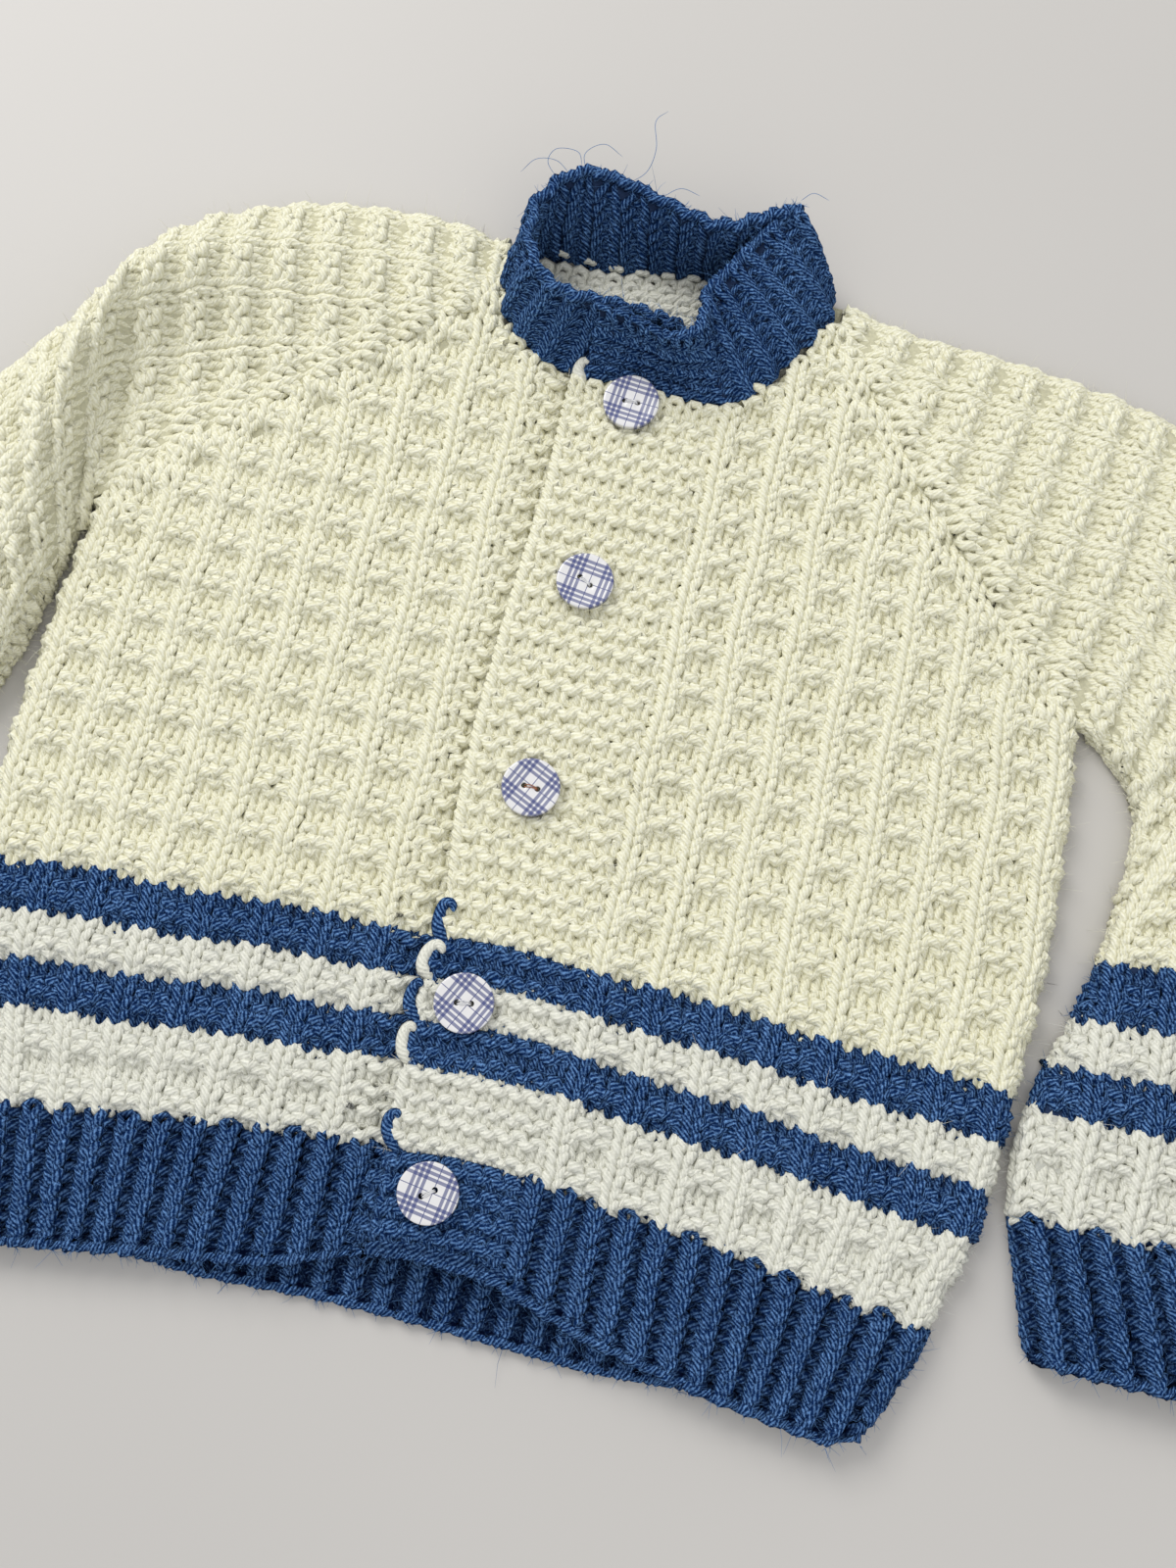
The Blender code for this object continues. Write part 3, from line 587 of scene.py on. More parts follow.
def front_ground(name, side):
    """The body of a front under its loops of yarn, down to the face of the back."""
    height = np.concatenate([np.linspace(33.4, 86.0, 16), np.linspace(89.0, NECKLINE, 30),
                             np.linspace(240.2, 264.0, 12)])[:, None]
    under_other_band = -24.0
    edge = read(BAND_EDGE, height) + 0.9 if side > 0 else under_other_band
    first = np.where(height < NECKLINE + 0.1, edge, read(NECK_GROUND, height, side) + 0.6)
    last = np.where(height > ARMPIT, raglan_u(height, side) - 0.6, ACROSS - 0.4)
    u = first + (last - first) * np.linspace(0, 1, 40)
    face = front_place(side, lambda u, v: 0.0)(u, height + 0.0 * u)
    near_seam = 0.8 * ease((u - last + 12.0) / 4.0) * (height > ARMPIT)
    outer = lowered(face, 3.0 - near_seam - 0.7 * ease((FRONT_START - u) / 3.0))
    inner = lowered(face, np.minimum(3.6, face[..., 2] - BACK_TOP))
    return shell(name, "cream_knit", GROUNDS, outer, inner, side, striped(height[:, 0], FRONT_MARKS))


for side, name, plain, seed, flat, area in ((1, "front_left", 0.12, 3, (0.152, 0.245), 0.0302),
                                            (-1, "front_right", 0.4, 4, (0.158, 0.245), 0.0315)):
    under = front_ground(name + "_ground", side)
    relief = front_relief(plain)
    made = piece(name + "_yarn", "cream_knit", YARNS, *loops(
        front_rows(side), front_place(side, relief), lambda u, v: 0.4 * relief(u, v), side, seed))
    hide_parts(name)


# Free edge of the button band: the first stitch of each row makes a twisted edge there, and the yarn
# that is carried up it stands out in a small hook at each change of colour.
HOOKS = [
    # colour, then x and y along the hook
    (BLUE, [(-10.5, 82.5), (-13.6, 86.5), (-14.2, 90), (-13.6, 93), (-11.8, 93.2), (-10.8, 91.2)]),
    (WHITE, [(-11.5, 73.5), (-15, 76.5), (-15, 80.2), (-13.2, 82.6), (-11.6, 82), (-11, 80.6)]),
    (BLUE, [(-12.5, 62.5), (-15.8, 66.5), (-16.2, 70), (-15.2, 72.4), (-13.8, 71.8)]),
    (WHITE, [(-12.5, 52.5), (-15, 56.5), (-15.4, 60), (-14.2, 61.8), (-12.8, 60.8)]),
    (BLUE, [(-9.5, 31.5), (-13.2, 36), (-13.8, 39.2), (-12.4, 40.9), (-11.4, 39.8)]),
    (WHITE, [(-12, 236.5), (-14.2, 239), (-14.4, 241.2), (-13.2, 242.6), (-12, 241.8)]),
]


def strand(line, radius, sides=7, samples=6, taper=0.0):
    """Closed tube along a smooth line through points, drawn to a point at both ends."""
    line = np.asarray(line, float)
    at = np.linspace(0, len(line) - 1, (len(line) - 1) * samples + 1)
    path = blend(line, at)
    run = unit(np.gradient(path, axis=0))
    side = unit(np.cross(run, (0.0, 0.0, 1.0)))
    share = at / at[-1]
    blunt = np.sqrt(np.clip(np.minimum(share, 1 - share) * 6.0, 0.0, 1.0))
    thick = radius * blunt * (1 - taper * share) + 0.01
    return tube(path, np.cross(side, run), side, thick, sides)


def edging(place, u, v, side, sunk=SUNK, colour=BLUE):
    """Cast-on or cast-off edge: two strands wound round each other along the line at u and v.

    A strand crosses to the other side after each wrap.
    """
    radius, wrap, apart = 1.15, 2.6, 0.85
    middle, normal = with_normal(place, u, v, side)
    across = np.cross(unit(np.gradient(middle, axis=0)), normal)
    strands = []
    for half in (0.0, np.pi):
        turn = (2 * np.pi * run_of(middle) / (2 * wrap) + half)[:, None]
        line = middle - normal * sunk + apart * (across * np.cos(turn) + 0.8 * normal * np.sin(turn))
        line[:, 2] = np.maximum(line[:, 2], radius)
        strands.append(strand(line, radius, sides=6, samples=1))
        ROOTS.append((line, across * np.cos(turn) + normal * np.sin(turn), colour))
    return strands


def evenly(start, stop):
    """Places from start to stop, about 1.1 apart."""
    return np.linspace(start, stop, max(int(abs(stop - start) / 1.1), 8))


def band_edge():
    """Twisted edge up the band, in the colour of the rows that it ends."""
    colours = (WHITE, BLUE, WHITE, BLUE, CREAM)
    strands = []
    for low, high, colour in zip(FRONT_MARKS, (*FRONT_MARKS[1:], NECKLINE), colours):
        v = evenly(low + 0.2, high - 0.2)
        u = read(BAND_EDGE, v - 1.0) + 0.2
        strands += edging(front_place(1, lambda u, v: 0.0), u, v, 1, 0.9, colour)
    piece("band_edge", "cream_knit", YARNS, *joined(strands, np.repeat(colours, 2)))


hooks = []
for _, flat in HOOKS:
    rising = np.linspace(8.2, 10.3, len(flat))
    hooks.append(strand(np.column_stack([flat, rising]), 2.1, taper=0.5))
piece("yarn_ends", "cream_knit", YARNS, *joined(hooks, [colour for colour, _ in HOOKS]))
band_edge()


# Front welts: one-by-one rib in blue below each front, its band ends in garter stitch, the edge
# lifted in the middle where the front lies over the back welt.
HEM_EDGE = np.array([
    # x, y of the lower edge
    (-130, -6), (-104, -10.5), (-75, -6), (-34, 0.5), (-12, 8), (0, 10),
    (17, 9.5), (44, 1), (75, -5), (104, -8.5), (130, -5),
])
RIB = 7.95                # a knit column and a purled one
RIB_KNIT = 5.9            # the knit column's width
RIB_LEAN = 0.33           # how far the legs of a rib stitch slant
WELT = 27.0               # height of a welt at the band


def rib_wave(u, first):
    """1 in the middle of each knit column, -1 in the middle of each groove."""
    return np.cos(2 * np.pi * (((u - first - RIB_KNIT / 2 + RIB / 2) % RIB - RIB / 2) / RIB))


def rib_relief(u, first):
    """Ribs stand up where the knit columns run and sink between them."""
    return np.where(u > first, 0.35 - 1.8 * (0.5 - 0.5 * rib_wave(u, first)) ** 2.2, -0.2)


def welt_place(side, first):
    """Place on a front welt, u across at its top edge and v up from its lower edge.

    The welt narrows toward its lower edge, and turns down at its outer end.
    """
    outer_end, narrowed = 122.5, 7.5

    def place(u, v):
        share = np.maximum(1 - v / WELT, 0.0)
        over = np.maximum(u - outer_end, 0.0)
        inside = u - narrowed * share * ease((u - 60.0) / 62.0)
        x = side * np.where(over > 0, outer_end - narrowed * share + 0.25 * over, inside)
        upper = row_y(x, FRONT_MARKS[0] + 0 * x)
        corner = 9.0 * np.clip((np.abs(x) - 104.0) / 14.0, 0, 1) ** 2
        down = np.clip(share, 0, 1)
        y = upper + (read(HEM_EDGE, x) + corner * down - upper) * down
        lift = 1.4 * share * np.exp(-(((x - 5.0) / 45.0) ** 2))
        z = front_height(x, np.maximum(y, 0.0), side) + lift - over
        if side > 0:
            x, down = turned(x, read(BAND_EDGE, y), BAND_TURN, -1)
            z = z - down
        below = np.maximum(-v, 0.0)
        z = z + rib_relief(u, first) - 0.9 * below
        return np.stack([x, y - 0.25 * below + np.maximum(v - WELT, 0.0), z], axis=-1)

    return place


def rib_kind(edges, first):
    """Knit (1) or purl (-1) for each stitch of one-by-one rib."""
    return np.where((between(edges) - first) % RIB < RIB_KNIT, 1.0, -1.0)


def rib_rows(first, start, stop, heights, garter):
    """Rows of one-by-one rib from start to stop, with plain garter stitch before the first rib."""
    ribs = (first + RIB * np.arange(60)[:, None] + (0.0, RIB_KNIT)).ravel()
    edges = np.concatenate([garter, ribs[ribs < stop - 1.5], [stop]])
    edges = edges[edges >= start]
    garter_end = between(edges) < first
    rib = rib_kind(edges, first)
    rows = []
    for number, (low, tall) in enumerate(zip(heights[:-1], np.diff(heights))):
        kind, above = (np.where(garter_end, (-1.0, 0.1)[k % 2], rib) for k in (number, number + 1))
        rows.append((edges, low, tall, BLUE, kind, above))
    rows[-1] = (*rows[-1][:5], np.ones(len(rib)))
    return rows


def ribbed(name, rows, place, relief, side, seed, ends, radius=1.3, sunk=SUNK):
    """Yarn of a ribbed piece, and the twisted edge along its foot from one end to the other."""
    knitted = loops(rows, place, relief, side, seed, radius=radius, sunk=sunk, lean=RIB_LEAN)
    made = piece(name + "_yarn", "blue_knit", YARNS, *knitted)
    across = evenly(*ends)
    twisted = edging(place, across, 0.0 * across, side, sunk)
    return [made, piece(name + "_edge", "blue_knit", YARNS, *joined(twisted, BLUE))]


def welt(side, first, garter, name, seed):
    place = welt_place(side, first)
    rows = rib_rows(first, garter[0], 126.5, np.linspace(0.5, WELT + 0.3, 10), garter)
    covers = ribbed(name, rows, place, lambda u, v: rib_relief(u, first), side, seed,
                    (garter[0] + 0.8, 124.0))
    u, v = np.meshgrid(np.linspace(garter[0] + 0.4, 122.0, 60), np.linspace(0.8, WELT - 0.2, 10))
    outer = lowered(place(u, v), rib_relief(u, first) + 2.6)
    inner = lowered(outer, np.minimum(0.9, outer[..., 2] - BACK_TOP))
    under = shell(name + "_ground", "blue_knit", GROUNDS[BLUE:], outer, inner, side)
    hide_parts(name)


welt(1, 21.05, np.linspace(-15.0, 21.05, 8)[:-1], "welt_left", 5)
welt(-1, 16.5, np.linspace(6.5, 16.5, 3)[:-1], "welt_right", 6)


# Back welt: the same rib in blue, knitted in one with the back, which shows in shadow below the
# lifted edge of the fronts.
BACK_HEM = np.array([
    # x, y of the lower edge
    (-110, -5), (-76, -5.2), (-50, -6), (-20, -4.6), (0, -4.6), (30, -5.4), (45, -6),
    (76, -4.6), (110, -4),
])
BACK_WELT = 31.0          # its height
ASIDE = 200.0             # the ribs are counted from this far to the right


def back_welt():
    top, reach = 25.0, 84.0

    def place(u, v):
        x = u * (1.0 - 0.05 * (1 - v / BACK_WELT))
        y = top + (read(BACK_HEM, x) - top) * (1 - np.clip(v, 0, BACK_WELT) / BACK_WELT)
        below = np.maximum(-v, 0.0)
        return np.stack([x, y - 0.25 * below, 2.9 + 0.6 * rib_relief(u + ASIDE, 0.0) - 0.9 * below], axis=-1)

    rows = [(edges - ASIDE, *rest) for edges, *rest in rib_rows(
        0.0, ASIDE - reach, ASIDE + reach, np.linspace(0.5, 18.5, 7), [])]
    # Its painted hollow shade is raised by 0.5 all over, so that its yarn is painted darker as the shade
    # under the lifted fronts.
    covers = ribbed("back_welt", rows, place, lambda u, v: rib_relief(u + ASIDE, 0.0) - 0.5, 1, 8,
                    (-reach, reach), radius=1.2, sunk=1.25)
    u, v = np.meshgrid(np.linspace(-112, 112, 50), np.linspace(0.9, BACK_WELT - 0.4, 8))
    level = place(u, v) * (1.0, 1.0, 0.0)
    under = shell("back_welt_ground", "blue_knit", GROUNDS[BLUE:], level + (0.0, 0.0, 1.0), level)
    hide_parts("back_welt")


back_welt()


# Back: knitted in one with its welt and sewn to the fronts, flat under them. Only its wrong side
# shows, in the neck opening, as rows of purl bumps.
def back():
    def risen(v):
        """How much higher the left shoulder lies."""
        return 7.0 * ease((v - 230.0) / 42.0)

    def place(u, v):
        rise = risen(v) * np.clip((u + 14.0) / 60.0, 0.0, 1.0)
        return np.stack([u, v + rise, 3.0 + 0.0 * u], axis=-1)

    edges = np.arange(-44.0, 46.0, 4.9)
    purl = -np.ones(len(edges) - 1)
    tall = 3.0
    rows = [(edges, 250.4 + tall * k, tall, WHITE, purl, purl) for k in range(7)]
    made = piece("back_yarn", "cream_knit", YARNS, *loops(
        rows, place, lambda u, v: 0.0 * u, 1, 9, radius=1.15, sunk=1.3, samples=10))
    height = np.concatenate([np.linspace(25.0, ARMPIT, 12), np.linspace(ARMPIT + 6.5, 271.0, 16)])[:, None]
    right = read(SEAM, height, -1) + 0.6
    left = read(SEAM, height + risen(height), 1) - 0.6
    x = right + (left - right) * np.linspace(0, 1, 30)
    level = place(x, height + 0 * x) * (1.0, 1.0, 0.0)
    under = shell("back_ground", "cream_knit", GROUNDS[CREAM:], level + (0.0, 0.0, 1.1), level)
    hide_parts("back")


back()


# Sleeves: flat tubes of waffle stitch with a raglan head, the wearer's right one puffed at the
# shoulder, the left one bent at the elbow; both striped above the cuff.
LEFT_SLEEVE = np.array([
    # from the neck down: x and y of the fold and of the underarm, height of the crown, where it lies
    # between them and how wide it is, and where the middle knit column runs
    (52, 279, 38, 190, 8.8, 0.6, 0.5, 0.5), (63, 275.5, 49, 187, 9.4, 0.6, 0.5, 0.5),
    (79, 273.5, 65, 185, 10.6, 0.6, 0.4, 0.5), (97, 272, 83, 183, 11.8, 0.6, 0.4, 0.5),
    (115, 269.5, 101, 180, 12.6, 0.6, 0.4, 0.5), (131, 267, 117, 177, 13.2, 0.6, 0.4, 0.5),
    (147, 263, 133, 174, 13.6, 0.55, 0.5, 0.5), (168, 255, 142, 168, 13.8, 0.5, 0.8, 0.45),
    (185, 243, 148, 161, 14, 0.5, 0.8, 0.4), (203, 226, 151, 154, 14, 0.5, 0.8, 0.35),
    (218, 202, 151.5, 146, 14, 0.5, 0.8, 0.3), (226, 175, 150.5, 137, 13.8, 0.5, 0.8, 0.25),
    (228, 150, 149.5, 129, 13.4, 0.5, 0.8, 0.22), (225, 125, 148, 119, 13, 0.5, 0.8, 0.22),
    (221, 103, 144, 103, 12.4, 0.5, 0.8, 0.27), (217, 88, 139.5, 88, 11.8, 0.5, 0.8, 0.33),
    (213.5, 74, 136.5, 74, 11.2, 0.5, 0.8, 0.37), (210, 62, 135.5, 62, 10.9, 0.5, 0.8, 0.396),
    (207, 51.5, 137, 51, 10.8, 0.5, 0.8, 0.4),
])
RIGHT_SLEEVE = np.array([
    # the same columns
    (-44.5, 275, -27, 186, 8.8, 0.6, 0.5, 0.5), (-56, 278, -38, 188, 9.6, 0.7, 0.4, 0.5),
    (-75, 277.5, -57, 188, 11.4, 0.75, 0.32, 0.5), (-93, 275, -76, 186, 14, 0.8, 0.28, 0.5),
    (-109, 270, -95, 183, 17.5, 0.82, 0.25, 0.5),
    (-124, 262, -114, 179, 21.5, 0.82, 0.24, 0.5),
    (-135, 251, -131, 174, 24, 0.8, 0.26, 0.5), (-143, 238, -133, 166, 24.5, 0.72, 0.36, 0.5),
    (-152, 223, -134.5, 155, 24, 0.6, 0.5, 0.5), (-164, 205, -136, 143, 22.5, 0.55, 0.7, 0.5),
    (-177, 184, -138, 132, 20.5, 0.5, 0.8, 0.5), (-189, 162, -142, 120, 18.5, 0.5, 0.8, 0.5),
    (-199, 140, -146.5, 106, 16.5, 0.5, 0.8, 0.5), (-207, 117, -150.5, 92, 14.5, 0.5, 0.8, 0.5),
    (-212, 94, -153.5, 78, 13, 0.5, 0.8, 0.5), (-215, 72, -155, 65, 11.8, 0.5, 0.8, 0.5),
    (-216, 51, -156, 51, 10.8, 0.5, 0.8, 0.5),
])
CLOSED = -7               # up from the cuff, a sleeve is a tube as far as the seventh section from the neck
SLEEVE_FOUR = 12.0        # height of four rows
NARROWEST = 10.0          # a row any narrower is left out
SLIM = 2.6                # the least width of a stitch at either end of a row


def chord(section):
    """From the underarm to the fold of a section: the direction, and the distance."""
    across = section[..., 0:2] - section[..., 2:4]
    size = np.linalg.norm(across, axis=-1)
    return across, size


def ring(section, share, over, deep, inset=0.0):
    """Points of a flattened ring, a depth in from its face: share runs from underarm 0 to fold 1.

    At its two folds the ring lies in by the inset as well.
    """
    crown, at, width = section[..., 4], section[..., 5], section[..., 6]
    c = np.minimum(np.abs(2 * share - 1), 1.0)
    low = np.minimum(8.7, crown)
    height = low + (crown - low) * np.exp(-(((share - at) / width) ** 2))
    middle = np.minimum(0.42 * crown, 5.2)
    if over:
        round_off = (1 - c**4) ** (1 / 2.2)
        z = middle + (height - middle - deep) * round_off
    else:
        round_off = (1 - c**8) ** (1 / 3)
        z = np.maximum(0.0, middle * (1 - 1.06 * round_off)) + deep * round_off
    across, size = chord(section)
    moved = np.clip(share, 0, 1) + (deep + inset) * (1 - round_off) * np.sign(0.5 - share) / size
    return np.concatenate([section[..., 2:4] + across * moved[..., None], z[..., None]], axis=-1)


class Sleeve:
    """One sleeve or cuff: a table of sections read by distance up from its lower edge."""

    def __init__(self, table, side, reference, crease=None):
        self.table = np.array(table)
        self.side = side
        line = self.table[:, 2:4] + chord(self.table)[0] * reference
        steps = np.linalg.norm(np.diff(line, axis=0), axis=1)
        self.up = np.append(0, np.cumsum(steps[::-1]))
        self.length = self.up[-1]
        self.foot = (line[-2] - line[-1]) / steps[-1]
        self.crease = crease
        self.is_cuff = len(table) == 2
        self.tube_from = np.inf if self.is_cuff else self.up[CLOSED]

    def number(self, v):
        """Number of the section at a height."""
        return len(self.table) - 1 - np.interp(v, self.up, np.arange(len(self.table)))

    def sunk(self, share, v):
        """Depth of the crease at the elbow."""
        if self.crease is None:
            return 0.0
        depth = self.crease[1] * np.exp(-(((self.number(v) - self.crease[0]) / 0.45) ** 2))
        return depth * (1 - ease(share / 0.5)) * np.clip(share / 0.1, 0, 1)

    def place(self, u, v):
        """Place of a stitch; past the fold and the underarm the cloth goes straight down."""
        section = blend(self.table, self.number(v))
        across, size = chord(section)
        share = section[..., 7] + u / size
        points = ring(section, np.clip(share, 0, 1), True, 0.0)
        before, after = (np.maximum(past, 0.0) * size for past in (-share, share - 1))
        on = np.minimum(v, 0.0) + self.is_cuff * np.maximum(v - self.length, 0.0)
        points[..., :2] += across * (0.05 * (after - before) / size)[..., None] + self.foot * on[..., None]
        points[..., 2] += self.relief(u, v) - self.sunk(share, v) - before - after
        return points

    def raglan(self, section):
        """Share at which a section comes out from under the raglan seam."""
        tries = np.linspace(0.0, 1.0, 801)
        line = section[2:4] + chord(section)[0] * tries[:, None]
        inside = self.side * line[:, 0] < self.side * read(SEAM, line[:, 1], self.side)
        return tries[min(np.where(inside, np.arange(801), -1).max() + 1, 800)]

    def ends(self, v):
        """First and last place across a row: raglan seam or underarm, and past the fold."""
        section = blend(self.table, self.number(np.array(v)))
        _, size = chord(section)
        first = -section[7] * size - 4.6
        if v > self.tube_from:
            first = (self.raglan(section) - section[7]) * size - 0.6
        return first, (1 - section[7]) * size + 4.6

    def ground(self, name, marks=()):
        """Body under the yarn: a wrapped sheet, its two edges meeting at the underarm or the raglan."""
        top = self.length - 0.4
        v = np.linspace(0.4, top, 9)
        if marks:
            v = np.concatenate([np.linspace(0.4, marks[-1], 14), np.linspace(marks[-1] + 4.0, top, 36)])
        section = blend(self.table, self.number(v))[:, None, :]
        headed = v > self.tube_from
        start = np.array([[self.raglan(row[0]) if head else 0.0] for row, head in zip(section, headed)])
        over = np.maximum(np.linspace(0, 1, 34), start)
        beneath = np.maximum(np.linspace(1, 0, 14), start)
        near = 0.8 * ease(3.0 - (over - start) * chord(section)[1] / 4.0) * headed[:, None]
        grids = []
        for deep_over, deep_under in ((3.1, 0.0), (3.9, 2.4)):
            high = ring(section, over, True, deep_over - near)
            high[..., 2] -= self.sunk(over, v[:, None] + 0 * over)
            grids.append(np.concatenate([high, ring(section, beneath, False, deep_under, 2.2)], axis=1))
        slot, colours = ("cream_knit", striped(v, marks)) if marks else ("blue_knit", BLUE)
        return shell(name, slot, GROUNDS, *grids, self.side, colours)


def shoulder(v):
    """0 in the lower arm, 1 toward the shoulder."""
    return ease((v - 95.0) / 50.0)


def sleeve(name, table, side, reference, stripes, seed, crease=None):
    """Toward the shoulder the knit columns sink with the squares, so that ridges run across there."""
    made = Sleeve(table, side, reference, crease)
    heights, colours = row_heights(stripes, made.length, SLEEVE_FOUR)

    def relief(u, v):
        square, wave, _ = waffle(u, v, -SINGLE / 2, heights, SLEEVE_FOUR)
        plain = 0.2 + 0.55 * shoulder(v)
        return -(plain + (1 - plain) * square) * (2.0 + 0.5 * plain) * wave

    made.relief = relief
    base = (REPEAT * np.arange(-6, 7)[:, None] + (-SINGLE / 2, SINGLE / 2, REPEAT / 2)).ravel()
    rows = []
    for number, (low, tall) in enumerate(zip(heights, np.diff(heights, append=made.length))):
        first, last = made.ends(low + tall / 2)
        if last - first < NARROWEST:
            continue
        border = low + tall / 2 > made.tube_from
        lead = first + BORDER * np.arange(3 if border else 1)
        inner = base[(base > lead[-1] + SLIM) & (base < last - SLIM)]
        edges = np.concatenate([lead, inner, [last]])
        single = (between(edges) + SINGLE / 2) % REPEAT < SINGLE
        kinds = []
        for k in (number, number + 1):
            kind = np.where(single, 1.0 - 0.6 * shoulder(low), waffle_kind(k, single))
            kind[:2] = 1.0 if border else kind[:2]
            kinds.append(kind)
        rows.append((edges, low, tall, colours[number], *kinds))
    cover = piece(name + "_yarn", "cream_knit", YARNS, *loops(
        rows, made.place, lambda u, v: 0.4 * relief(u, v), side, seed))
    under = made.ground(name + "_ground", stripes)
    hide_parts(name)


sleeve("sleeve_left", LEFT_SLEEVE, 1, 0.25, (0.0, 27.0, 39.0, 51.5, 67.5), 11, (9.2, 3.0))
sleeve("sleeve_right", RIGHT_SLEEVE, -1, 0.35, (0.0, 27.0, 39.0, 51.5, 64.0), 12)


# Cuffs: one-by-one rib in blue at the end of each sleeve, knitted in one with it and closed to a flat
# tube by the same seam.
def cuff(name, table, side, seed):
    made = Sleeve(table, side, 0.4)
    first = -4.9 / 2 - RIB * 8
    made.relief = lambda u, v: rib_relief(u, first)
    rows = []
    heights = np.linspace(0.5, made.length + 0.2, 11)
    for edges, low, tall, colour, _, _ in rib_rows(first, first, 80.0, heights, []):
        start, stop = made.ends(low + 1.0)
        edges = np.concatenate([[start], edges[(edges > start) & (edges < stop)], [stop]])
        kind = rib_kind(edges, first)
        rows.append((edges, low, tall, colour, kind, kind))
    rows[-1] = (*rows[-1][:5], np.abs(kind))
    covers = ribbed(name, rows, made.place, made.relief, side, seed, made.ends(0.3))
    under = made.ground(name + "_ground")
    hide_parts(name)


cuff("cuff_left", [LEFT_SLEEVE[-1], (206.0, 20.0, 147.0, 20.5, 10.4, 0.5, 0.8, 0.49)], 1, 13)
cuff("cuff_right", [RIGHT_SLEEVE[-1], (-216.0, 20.0, -158.0, 20.0, 10.4, 0.5, 0.8, 0.5)], -1, 14)


# Neckband: a strip of rib picked up round the neck, standing like a funnel, its garter-stitch end
# lapped over the other and its corner turned up sharply on the wearer's left.
NECKBAND = np.array([
    # x, y, z of the foot, x, y, z of the rim, and how far in and up the knee lies from the foot
    (-13.5, 239.6, 8.3, -11.5, 251.6, 24, 6, 0.5), (-4, 240.2, 8.3, -3, 250, 24.5, 6, 0.5),
    (8, 240.3, 8.3, 7.5, 247.7, 23, 6, 0.5), (19, 240, 8.2, 14, 250, 23.5, 6, 0.8),
    (27.5, 242, 8, 15.8, 256, 22, 6, 2), (34.5, 249.2, 7.6, 15.3, 263.6, 21, 6, 5),
    (39.5, 258, 7.2, 19.9, 272.1, 20, 6, 6), (44.5, 266, 6.4, 23, 278.6, 19.5, 6, 6),
    (47.2, 273, 5, 27.9, 286.3, 20.5, 6, 7), (45.8, 279.5, 3.6, 33.1, 291.8, 21, 4, 8),
    (39, 282, 1.2, 30.7, 290.5, 21.5, 3, 8), (28, 280.8, 0.4, 24.9, 287.4, 22, 2, 8),
    (15, 278.8, 0.4, 14.7, 281.9, 22.5, 1, 8), (1, 276.8, 0.4, 2, 284.4, 22, 2, 8),
    (-13, 274.8, 0.4, -13.5, 289.2, 21, 3, 7), (-25, 274.8, 0.6, -24.5, 289.6, 21.5, 3, 7),
    (-34, 274.2, 2.2, -31.5, 283, 22.5, 2, 8), (-38.2, 267, 5, -34.8, 273, 24.5, 0.5, 8),
    (-38.6, 259, 5.8, -32.8, 262.5, 25.5, 0.5, 8), (-34.5, 249.8, 6.6, -26.7, 255.3, 24.5, 2, 6),
    (-26.5, 243.8, 6.6, -19.1, 253.2, 23.5, 4, 3), (-17, 241.2, 5.6, -10.6, 253.5, 23, 7, 0.6),
    (-7, 241.4, 4.8, -1.6, 253.4, 22.5, 8, 0.3), (5, 241.8, 4.8, 6.3, 252.8, 22.5, 8, 0.3),
    (15, 242.4, 4.8, 11.4, 252.3, 22, 8, 0.3),
])


def neckband():
    """Strip on curved lines from foot by knee to rim; u runs round the neck and v up the strip."""
    run = run_of(NECKBAND[:, 0:3])
    high = 24.0
    first = 38.5              # where the ribs begin beyond the garter-stitch end
    opening = (3.0, 258.0, 5.0)

    def place(u, v):
        row = blend(NECKBAND, np.interp(u, run, np.arange(len(run))))
        foot, rim = row[..., 0:3], row[..., 3:6]
        inward = unit((rim - foot) * (1.0, 1.0, 0.0))
        knee = foot + inward * row[..., 6:7] + np.array([0.0, 0.0, 1.0]) * row[..., 7:8]
        t = (v / high)[..., None]
        return (1 - t) ** 2 * foot + 2 * t * (1 - t) * knee + t**2 * rim

    def relief(u, v):
        return np.where(u > first, 0.9 * rib_wave(u, first), 0.8 * np.cos(2 * np.pi * (v - 1.6) / 6.0))

    def raised(u, v):
        """The same strip with its ribs standing out."""
        middle, normal = with_normal(place, u, v, -1)
        return middle + normal * relief(u, v)[..., None]

    rows = rib_rows(first, 0.0, run[-1], np.linspace(0.2, high - 0.8, 9), np.linspace(0.0, first, 9)[:-1])
    made = piece("neckband_yarn", "blue_knit", YARNS, *loops(
        rows, raised, lambda u, v: 0.4 * relief(u, v), -1, 15, radius=1.2, deep=0.7, sunk=0.0, lean=RIB_LEAN))
    dashes = []
    for u in np.arange(first + 44.0, first + 130.0, RIB):
        line = place(u + np.array([-2.3, 0.0, 2.3]), np.array([4.3, 4.9, 4.3]))
        dashes.append(strand(line + 2.6 * unit(opening - line), 0.95))
    joining = piece("neckband_joining", "cream_knit", YARNS, *joined(dashes, WHITE))
    around = evenly(0.4, run[-1] - 0.4)
    twisted = edging(raised, around, high + 0.3 + 0 * around, -1, 0.0)
    edge = piece("neckband_edge", "blue_knit", YARNS, *joined(twisted, BLUE))
    u, v = np.meshgrid(np.linspace(0.4, run[-1] - 0.4, 110), np.linspace(0.2, high - 0.2, 9))
    middle, normal = with_normal(raised, u, v, -1)
    half = 0.45 * normal
    under = shell("neckband_ground", "blue_knit", GROUNDS[BLUE:], middle - half, middle + half)
    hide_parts("neckband")


neckband()


# Loose fibres: short hairs of the brushed yarn that stand off its plies all over, closest along the
# edges, and a few long ones that have worked loose at the back of the neckband.
def fibre_material(name, light):
    """One hair's colour, a little lighter and darker from hair to hair."""
    tree = Tree(name)
    shades = tree.mix(tree.noise(tree.place(), 300.0), tuple(0.6 * part for part in light), light)
    return tree.surface(Base_Color=shades, Roughness=0.8, Specular_IOR_Level=0.1)


